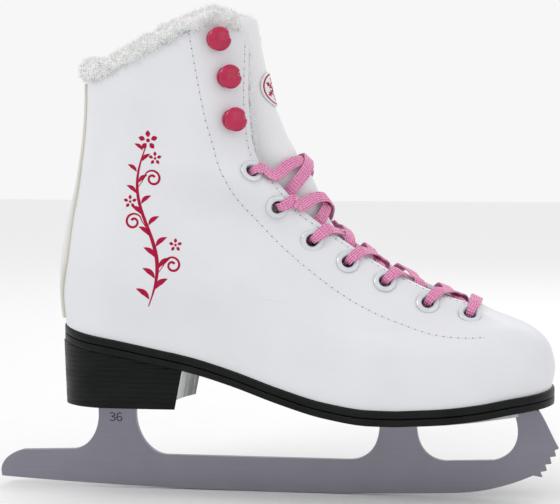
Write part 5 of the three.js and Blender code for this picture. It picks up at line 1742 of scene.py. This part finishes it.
@dataclass
class Stitching:
    """The U of stitches round the facing, and the row along its edge."""

    form: BootForm
    tree: BVHTree
    pitch: float = 3.6
    u_line: tuple[Point2, ...] = (
        (-36.4, 233.4), (-32.5, 210.2), (-29, 192), (-25.3, 178.7), (-22, 167.4), (-14.7, 153.1), (-5.1, 141.8),
        (4.9, 131.1), (20, 118), (36.6, 105.8), (52.4, 96.9), (70.1, 90.1), (85.7, 85.9), (101.2, 84.7), (112, 85.4),
    )

    def build(self, maker: Maker) -> None:
        """Args: maker. Sews every row."""
        threads, hole_shades = ([], []), ([], [])
        rows = []
        for side in Side:
            ink = Ink(self.tree, side, 0.0)
            knots = [Vector(p) for p in self.u_line]
            spots = [ink.lay(*catmull(knots, (len(knots) - 1) * i / 300)) for i in range(301)]
            rows.append([p for p in spots if p is not None])
            edge = []
            for v in steps(0.262, 0.985, 260):
                u = self.form.edge_column(v, 2.6)
                if u < 0.4999:
                    edge.append(self.form.point(u if side is Side.LATERAL else 1 - u, v))
            rows.append(edge)
        for row in rows:
            self._sew(row, threads, hole_shades)
        maker.mesh("seam_threads", threads[0], threads[1], THREAD)
        # The needle holes are flat dark ellipses over the leather: painted shadow in each hole.
        maker.mesh("seam_hole_shades", hole_shades[0], hole_shades[1], NEEDLE_HOLE_SHADE)

    def _sew(self, row: list[Vector], threads: tuple[list, list], hole_shades: tuple[list, list]) -> None:
        lengths = [0.0]
        for a, b in zip(row, row[1:]):
            lengths.append(lengths[-1] + (b - a).length)

        def at(distance: float) -> Vector:
            low, high = 0, len(lengths) - 1
            while high - low > 1:
                middle = (low + high) // 2
                if lengths[middle] <= distance:
                    low = middle
                else:
                    high = middle
            span = max(1e-6, lengths[low + 1] - lengths[low])
            return row[low].lerp(row[low + 1], (distance - lengths[low]) / span)

        for k in range(int(lengths[-1] / self.pitch)):
            start = k * self.pitch
            hit, normal, _, _ = self.tree.find_nearest(at(start + 0.1))
            if hit is None:
                continue
            if normal.y * hit.y < 0:
                normal = -normal
            way = (at(start + 0.4) - at(start)).normalized()
            side = way.cross(normal).normalized()
            # Painted shade: a flat dark ellipse just over the leather stands in for the shadow in the needle hole.
            first = len(hole_shades[0])
            for i in range(10):
                a = 2 * math.pi * i / 10
                hole_shades[0].append(hit + way * (0.42 * math.cos(a)) + side * (0.33 * math.sin(a)) + normal * 0.07)
            hole_shades[1].append(tuple(range(first, first + 10)))
            first = len(threads[0])
            for j, d in enumerate((0.45, 0.8, 1.8, 2.8, 3.15)):
                p = at(start + d)
                near, up, _, _ = self.tree.find_nearest(p)
                if up.y * near.y < 0:
                    up = -up
                size = 0.06 if j in (0, 4) else 0.26
                reach = side * size
                threads[0].extend([near - reach, near + up * size * 0.8, near + reach, near - up * 0.2])
            for j in range(4):
                for q in range(4):
                    a, b = first + 4 * j + q, first + 4 * j + (q + 1) % 4
                    threads[1].append((a, b, b + 4, a + 4))


# ---------------------------------------------------------------- sole and heel
@dataclass
class SoleUnit:
    """The two sole layers, the ribbed heel, and the plush footbed inside the boot."""

    form: BootForm
    midsole: float = 3.6
    outsole: float = 3.6
    welt: float = 1.6
    heel_bottom: float = 45.5
    heel_breast: float = 63.0
    lift: float = 2.6

    def half(self, x: float, grow: float, taper: float = 0.0) -> float:
        """Args: x, how far the outline is grown, and its taper. Returns: half the outline's width there."""
        f = self.form
        full = f.sole_width(f.share(x)) + grow - taper
        back = rounded(x - f.heel_x + grow, f.heel_half, 2)
        return full * back * rounded(f.toe_x + grow - x, f.toe_round, 2.3)

    def _slab(self, maker: Maker, name: str, top: float, bottom: float, round_off: float, finish: Finish) -> bpy.types.Object:
        """Makes a layer that follows the feather line, with its edge rounded."""
        f = self.form
        count = 120
        rings = []
        levels = ((round_off * 2.2, top), (round_off, top + 0.06), (round_off * 0.3, top + 0.25), (0, top + 0.6),
                  (0, bottom - 0.6), (round_off * 0.3, bottom - 0.25), (round_off, bottom - 0.05),
                  (round_off * 2.2, bottom))
        for inset, drop in levels:
            start, end = f.heel_x + inset, f.toe_x + self.welt - inset
            xs = [lerp(start, end, (1 - math.cos(math.pi * i / count)) / 2) for i in range(count + 1)]
            near, far = [], []
            for x in xs:
                wide = max(0.0, self.half(x, self.welt * smooth(0, 0.12, f.share(x))) - inset)
                z = f.feather_z(x) - drop
                near.append(Vector((x, f.centre_y(x) - wide, z)))
                far.append(Vector((x, f.centre_y(x) + wide, z)))
            rings.append(near + far[::-1])
        m = 2 * (count + 1)
        points = [p for ring in rings for p in ring]
        faces = tube_faces(len(rings), m)
        for level in (0, len(rings) - 1):
            base = level * m
            faces += [(base + i, base + i + 1, base + m - 2 - i, base + m - 1 - i) for i in range(count)]
        obj = maker.mesh(name, points, faces, finish)
        outward(obj)
        return obj

    def build(self, maker: Maker) -> None:
        """Args: maker. Makes the sole, the heel and the footbed."""
        f = self.form
        mid_bottom = f.gap + self.midsole
        out_top = mid_bottom + f.gap
        self.out_bottom = out_top + self.outsole
        upper_layer = self._slab(maker, "midsole_layer", f.gap * 0.4, mid_bottom, 0.5, BLACK_SOLE)
        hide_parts("midsole")
        lower_layer = self._slab(maker, "outsole_layer", out_top, self.out_bottom, 0.45, BLACK_SOLE)
        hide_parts("outsole")
        self._heel(maker)
        self._footbed(maker)

    def _heel(self, maker: Maker) -> None:
        """Makes the heel: stacked lifts with a groove between them, and a polished hollow breast."""
        f = self.form
        breast = f.heel_x + self.heel_breast
        hollow, slope, taper_full, edge = 6.0, 4.0, 2.0, 0.5

        def top(x: float) -> float:
            return f.feather_z(x) - self.out_bottom - f.gap

        rear = top(f.heel_x)
        heights = []
        z = self.heel_bottom
        while z < rear:
            heights += [(z + 0.0, 0.26), (z + 0.22, 0.05), (z + 0.5, 0.0), (z + self.lift - 0.5, 0.0),
                        (z + self.lift - 0.22, 0.05)]
            z += self.lift
        rings = []
        count, arc = 44, 24
        for z, inset in heights + [(rear + 5, 0.0)]:
            k = clamp01((z - self.heel_bottom) / (rear - self.heel_bottom))
            taper = taper_full * (1 - k)
            front_k = clamp01((z - self.heel_bottom) / (top(breast) - self.heel_bottom))
            front = breast + slope * front_k
            back = f.heel_x + edge + taper + inset
            xs = [lerp(back, front, 1 - math.cos(math.pi * i / (2 * count))) for i in range(count + 1)]

            def wide(x: float) -> float:
                clipped = z > top(x)
                return max(0.6, self.half(x + edge, -taper * 0.5) - (0 if clipped else inset))

            near = [Vector((x, -wide(x), min(z, top(x)))) for x in xs]
            far = [Vector((x, wide(x), min(z, top(x)))) for x in reversed(xs)]
            middle = []
            for y in steps(-1, 1, arc)[1:-1]:
                x = front - hollow * (1 - y * y)
                middle.append(Vector((x, y * wide(front), min(z, top(x)))))
            rings.append(near + middle + far)
        m = len(rings[0])
        points = [p for ring in rings for p in ring]
        faces = tube_faces(len(rings), m)
        faces += [tuple(range(m)), tuple(range((len(rings) - 1) * m, len(rings) * m))]
        obj = maker.mesh("heel_stack", points, faces, BLACK_STACK)
        # The hollow breast faces take the breast finish, with painted reflection bands on black.
        obj.data.materials.append(maker.workshop.material(BREAST_GLOSS))
        low, high = count, count + arc
        for polygon in obj.data.polygons:
            if len(polygon.vertices) == 4 and all(low <= q % m <= high for q in polygon.vertices):
                polygon.material_index = 1
        outward(obj)
        self._recess(maker, obj)
        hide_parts("heel_block")
        soften(obj, 0.15, 2, 55)

    def _recess(self, maker: Maker, obj: bpy.types.Object) -> None:
        """Cuts the shallow seat of the heel plate into the heel's underside."""
        f = self.form
        start, end, wide, r = f.heel_x + 6.7, f.heel_x + 53.3, 19.3, 12.3
        quarter = steps(0, math.pi / 2, 8)
        x, y = start + r, wide - r
        outline = [Vector((x - r * math.sin(a), -y - r * math.cos(a), 0)) for a in quarter]
        outline += [Vector((x - r * math.cos(a), y + r * math.sin(a), 0)) for a in quarter]
        outline += [Vector((end, wide, 0)), Vector((end, -wide, 0))]
        base = self.heel_bottom
        rings = [[p + Vector((0, 0, base + h)) for p in outline] for h in (-2.0, 2.8)]
        cutter = maker.loft("plate_seat_cutter", rings, BLACK_STACK, None)
        cut = obj.modifiers.new("seat", "BOOLEAN")
        cut.operation, cut.object, cut.solver = "DIFFERENCE", cutter, "EXACT"
        graph = bpy.context.evaluated_depsgraph_get()
        graph.update()
        carved = bpy.data.meshes.new_from_object(obj.evaluated_get(graph))
        obj.modifiers.clear()
        obj.data = carved
        bpy.data.objects.remove(cutter)

    def _footbed(self, maker: Maker) -> None:
        """Makes the plush footbed as a soft slab."""
        f = self.form
        inset = f.lining_depth + f.lining + 3 * f.gap
        bottom = 2 * f.gap + 1.8
        start, end = f.heel_x + inset + 0.5, f.toe_x - inset - 2.5
        rings = []
        for i in range(91):
            x = lerp(start, end, (1 - math.cos(math.pi * i / 90)) / 2)
            wide = max(1.0, self.half(x, -inset))
            row_top, row_low = [], []
            for k in steps(-1, 1, 24):
                y = wide * math.sin(k * math.pi / 2)
                puff = rounded(wide - abs(y) + 0.1, 2.2, 2)
                wave = 0.25 * noise.noise(Vector((x * 0.3, y * 0.3, 0)))
                across, base = f.centre_y(x) + y, f.feather_z(x) + bottom
                row_top.append(Vector((x, across, base + 1.5 + (1.35 + wave) * puff)))
                row_low.append(Vector((x, across, base + 0.1)))
            rings.append(row_top + row_low[::-1])
        obj = maker.loft("footbed_plush", rings, PLUSH)
        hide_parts("footbed")


# ---------------------------------------------------------------- blade
def bezier(points: Sequence[Point2], count: int = 16) -> list[Point2]:
    """Args: the control points of a Bezier curve, and its count of steps. Returns: its points after the first."""
    found = []
    for k in steps(0, 1, count)[1:]:
        work = [Vector(p) for p in points]
        while len(work) > 1:
            work = [a.lerp(b, k) for a, b in zip(work, work[1:])]
        found.append((work[0].x, work[0].y))
    return found


@dataclass
class BladeUnit:
    """The blade, its screws and its size mark."""

    form: BootForm
    sole: SoleUnit
    thickness: float = 4.0
    tail: float = -145.5
    tip: float = 145.5
    top: float = 17.6
    rocker: float = 2300.0
    spin: float = 92.0
    plate: float = 2.5
    teeth: tuple[Point2, ...] = (
        (-8.1, 11.4), (-9.2, 14.1), (-5.9, 14.8), (-6.8, 17.9), (-3.6, 18.4), (-4.4, 21.8), (-1.4, 22.3),
        (-2.2, 25.3), (0, 26.2),
    )

    def _bottom(self, x: float) -> float:
        centre, start = -5.0, self.tip - 52

        def arc(at: float) -> float:
            return self.rocker - math.sqrt(self.rocker**2 - (at - centre) ** 2)

        if x <= start:
            return arc(x)
        return arc(start) + (start - centre) / self.rocker * (x - start) + (x - start) ** 2 / (2 * self.spin)

    def _outline(self) -> list[Point2]:
        """Returns: the blade's side view, from the tail along the bottom to the toe and back over the top."""
        f = self.form

        def inside(x: float) -> float:
            return f.feather_z(x) - self.sole.out_bottom - f.gap - 0.2

        def under(x: float) -> float:
            return f.feather_z(x) - self.sole.out_bottom - f.gap - self.plate

        ball = (f.along(0.655), f.along(0.655) + 19)
        toe = (f.along(0.925), f.along(0.925) + 11)
        heel = (f.along(0.065), f.along(0.065) + 21.5)
        line = [(x, self._bottom(x)) for x in steps(self.tail + 0.5, self.tip - 12.7, 90)]
        line += [(self.tip + x, z) for x, z in self.teeth]
        line += bezier([line[-1], (self.tip - 4, 33), (self.tip - 6, 39), (toe[1] + 1.6, under(toe[1]) - f.gap)])
        line += [(toe[1], under(toe[1]) - f.gap), (toe[1], inside(toe[1])), (toe[0], inside(toe[0])),
                 (toe[0], under(toe[0]) - f.gap)]
        right = toe[0] + 2.6
        line += bezier([line[-1], (right + 2, 34), (right, 22), (right - 12, self.top + 1.6)])
        line.append((ball[1] + 15, self.top + 0.6))
        line += bezier([line[-1], (ball[1] + 5, self.top + 1), (ball[1] - 0.5, 26), (ball[1], under(ball[1]) - f.gap)])
        line += [(ball[1], inside(ball[1])), (ball[0], inside(ball[0])), (ball[0], under(ball[0]) - f.gap)]
        line += bezier([line[-1], (ball[0] + 0.5, 26), (ball[0] - 5, self.top), (ball[0] - 16, self.top)])
        line.append((heel[1] + 16, self.top))
        low = self.sole.heel_bottom
        line += bezier([line[-1], (heel[1] + 6, self.top), (heel[1] - 3.5, 30), (heel[1] - 0.3, low - f.gap)])
        line += [(heel[1], low - f.gap), (heel[1], low + self.plate), (heel[0], low + self.plate),
                 (heel[0], low - f.gap)]
        high = self.top + 1.8
        line += bezier([line[-1], (heel[0] + 3.5, 30), (heel[0] - 5, high), (heel[0] - 14, high)])
        line.append((self.tail + 12, high - 1))
        line += bezier([line[-1], (self.tail + 1, self.top - 2), (self.tail, 7.5)])
        return line

    def build(self, maker: Maker) -> None:
        """Args: maker. Makes the blade, its screws and its size mark."""
        line = self._outline()
        half = self.thickness / 2
        n = len(line)
        points = [Vector((x, -half, z)) for x, z in line] + [Vector((x, half, z)) for x, z in line]
        faces = [tuple(range(n)), tuple(range(2 * n - 1, n - 1, -1))]
        faces += [(i, (i + 1) % n, n + (i + 1) % n, n + i) for i in range(n)]
        blade = maker.mesh("blade_steel", points, faces, BLADE_STEEL, flat=True)
        outward(blade)
        soften(blade, 0.3, 2, 30)
        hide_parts("blade")
        self._size_mark(maker)
        self._screws(maker)

    def _size_mark(self, maker: Maker) -> None:
        """Etches the size number 36 on the heel stanchion, on both faces."""
        digits = {
            "3": ((0, 4.6), (1.2, 5.2), (2.5, 4.6), (2.5, 3.5), (1.1, 2.8), (2.6, 2.1), (2.7, 0.8), (1.3, 0), (0, 0.6)),
            "6": ((2.5, 4.7), (1.4, 5.2), (0.3, 3.9), (0.1, 1.5), (0.9, 0.1), (2.3, 0.3), (2.7, 1.6), (1.8, 2.8),
                  (0.3, 2.2)),
        }
        points, faces = [], []
        for side in Side:
            for place, digit in enumerate("36"):
                knots = [Vector(p) for p in digits[digit]]
                spots = [catmull(knots, (len(knots) - 1) * i / 40) for i in range(41)]
                first = len(points)
                for i, p in enumerate(spots):
                    ahead = (spots[min(40, i + 1)] - spots[max(0, i - 1)]).normalized()
                    n = Vector((-ahead.y, ahead.x)) * 0.28
                    for q in (p - n, p + n):
                        x = -86.4 + place * 3.7 + q.x
                        if side is Side.MEDIAL:
                            x = -166.4 - x
                        points.append(Vector((x, side.value * (self.thickness / 2 + 0.03), 35.0 + q.y * 0.8)))
                starts = range(first, first + 80, 2)
                faces += [(q, q + 1, q + 3, q + 2) for q in starts]
        maker.mesh("size_mark", points, faces, MARK_INK)

    def _screws(self, maker: Maker) -> None:
        f = self.form
        toe = [(0.62, -1), (0.62, 1), (0.77, -1), (0.77, 1), (0.905, 0)]
        heel = [(0.05, 0), (0.105, -1), (0.105, 1), (0.2, -1), (0.2, 1)]
        places = []
        for i, (t, side) in enumerate(toe):
            x = f.along(t)
            z = f.feather_z(x) - self.sole.out_bottom - f.gap - self.plate + 0.1
            places.append((f"toe_plate_screw_{i + 1}", Vector((x, f.centre_y(x) + side * 17, z)), 8.7))
        for i, (t, side) in enumerate(heel):
            places.append((f"heel_plate_screw_{i + 1}", Vector((f.along(t), side * 12.5, 45.8)), 20.0))
        for name, at, length in places:
            thread = []
            for k in range(int((length - 4) / 0.8)):
                h = 2.2 + k * 0.8
                thread += [(1.25, h), (1.68, h + 0.3), (1.25, h + 0.6)]
            profile = [(0.02, 0.9), (0.9, 0.75), (1.5, 0.0), (3.3, 0.0), (3.55, 0.2), (1.6, 1.9), *thread,
                       (0.7, length - 0.6), (0, length)]
            obj = maker.lathe(name + "_turned", profile, Matrix.Translation(at), SCREW_ZINC, 28)
            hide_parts(name)


# ---------------------------------------------------------------- studio
@dataclass
class Studio:
    """Camera, floor and soft light."""

    azimuth: float = 8.5
    elevation: float = 3.8
    distance: float = 0.9
    look_at: tuple[float, float, float] = (0.0032, 0.0, 0.124)
    lens: float = 112.8

    def camera(self) -> None:
        """Places the camera."""
        data = bpy.data.cameras.new("camera")
        data.lens = self.lens
        data.sensor_width = 36
        data.clip_start = 0.01
        a, e = math.radians(self.azimuth), math.radians(self.elevation)
        way = Vector((math.sin(a) * math.cos(e), -math.cos(a) * math.cos(e), math.sin(e)))
        obj = bpy.data.objects.new("camera", data)
        obj.location = Vector(self.look_at) + way * self.distance
        obj.rotation_euler = (-way).to_track_quat("-Z", "Y").to_euler()
        bpy.context.scene.collection.objects.link(obj)
        bpy.context.scene.camera = obj

    def floor(self, maker: Maker) -> None:
        """Args: maker. Lays a plain pale floor."""
        data = bpy.data.meshes.new("floor")
        s = 4.0
        data.from_pydata([(-s, -s, 0), (s, -s, 0), (s, s, 0), (-s, s, 0)], [], [(0, 1, 2, 3)])
        data.materials.append(maker.workshop.material(
            Finish("pale_floor", Surface.RUBBER, (0.9, 0.9, 0.9), 0.7, (0.89, 0.89, 0.89), grain=0.004, relief=0.02)))
        obj = bpy.data.objects.new("floor", data)
        obj.location.z = -0.0002
        bpy.context.scene.collection.objects.link(obj)

    def _area(self, name: str, where: tuple[float, float, float], size: float, power: float) -> None:
        data = bpy.data.lights.new(name, "AREA")
        data.shape, data.size, data.energy = "SQUARE", size, power
        obj = bpy.data.objects.new(name, data)
        obj.location = where
        aim = Vector(self.look_at) - Vector(where)
        obj.rotation_euler = aim.to_track_quat("-Z", "Y").to_euler()
        bpy.context.scene.collection.objects.link(obj)

    def light(self) -> None:
        """Sets the soft light."""
        world = bpy.data.worlds.new("studio")
        world.use_nodes = True
        background = world.node_tree.nodes["Background"]
        background.inputs["Color"].default_value = (1, 1, 1, 1)
        background.inputs["Strength"].default_value = 0.93
        bpy.context.scene.world = world
        self._area("key", (-0.7, -0.9, 1.2), 0.5, 4.5)
        self._area("fill", (1.0, -0.7, 0.5), 0.8, 0.8)
        self._area("rim", (0.3, 1.0, 0.9), 0.8, 2)
        bpy.context.scene.view_settings.view_transform = "Standard"


def dress_frame(frame: dict, workshop: Workshop) -> None:
    """Gives the CAD nodes that stay their finishes.

    Args:
        frame: the loaded frame.
        workshop: makes the materials.
    """
    looks = {"toe_plate": PLATE_STEEL, "heel_plate": PLATE_STEEL, "shank": SCREW_ZINC, "insole_board": FIBRE_BOARD}
    for name, node in frame["nodes"].items():
        material = workshop.material(looks.get(name, STIFF_FELT))
        for slot in node.material_slots:
            slot.material = material
        if name in looks:
            soften(node, 0.25, 2, 35)


def main() -> None:
    """Builds the skate, piece by piece."""
    logging.basicConfig(level=logging.INFO, format="%(message)s")
    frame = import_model()
    workshop = Workshop()
    maker = Maker(workshop)
    studio = Studio()
    studio.camera()
    form = BootForm()
    fittings = Fittings(form)
    tongue = Tongue(form)
    lacing = Lacing(form, fittings, tongue)
    lacing.free_ends(maker)
    dress_frame(frame, workshop)
    LOG.info("leather and linings")
    upper = Shells(form, fittings).build(maker)
    tree = BVHTree.FromPolygons([v.co / MM for v in upper.data.vertices],
                                [tuple(q.vertices) for q in upper.data.polygons])
    LOG.info("stay, collar and tongue")
    BackStay(form).build(maker)
    Collar(form).build(maker)
    tongue.build(maker)
    LOG.info("fittings and lace")
    fittings.build(maker)
    lacing.threaded(maker)
    LOG.info("print and stitches")
    Ornament(tree).build(maker)
    Stitching(form, tree).build(maker)
    LOG.info("sole and blade")
    sole = SoleUnit(form)
    sole.build(maker)
    BladeUnit(form, sole).build(maker)
    studio.floor(maker)
    studio.light()


if __name__ == "__main__":
    main()
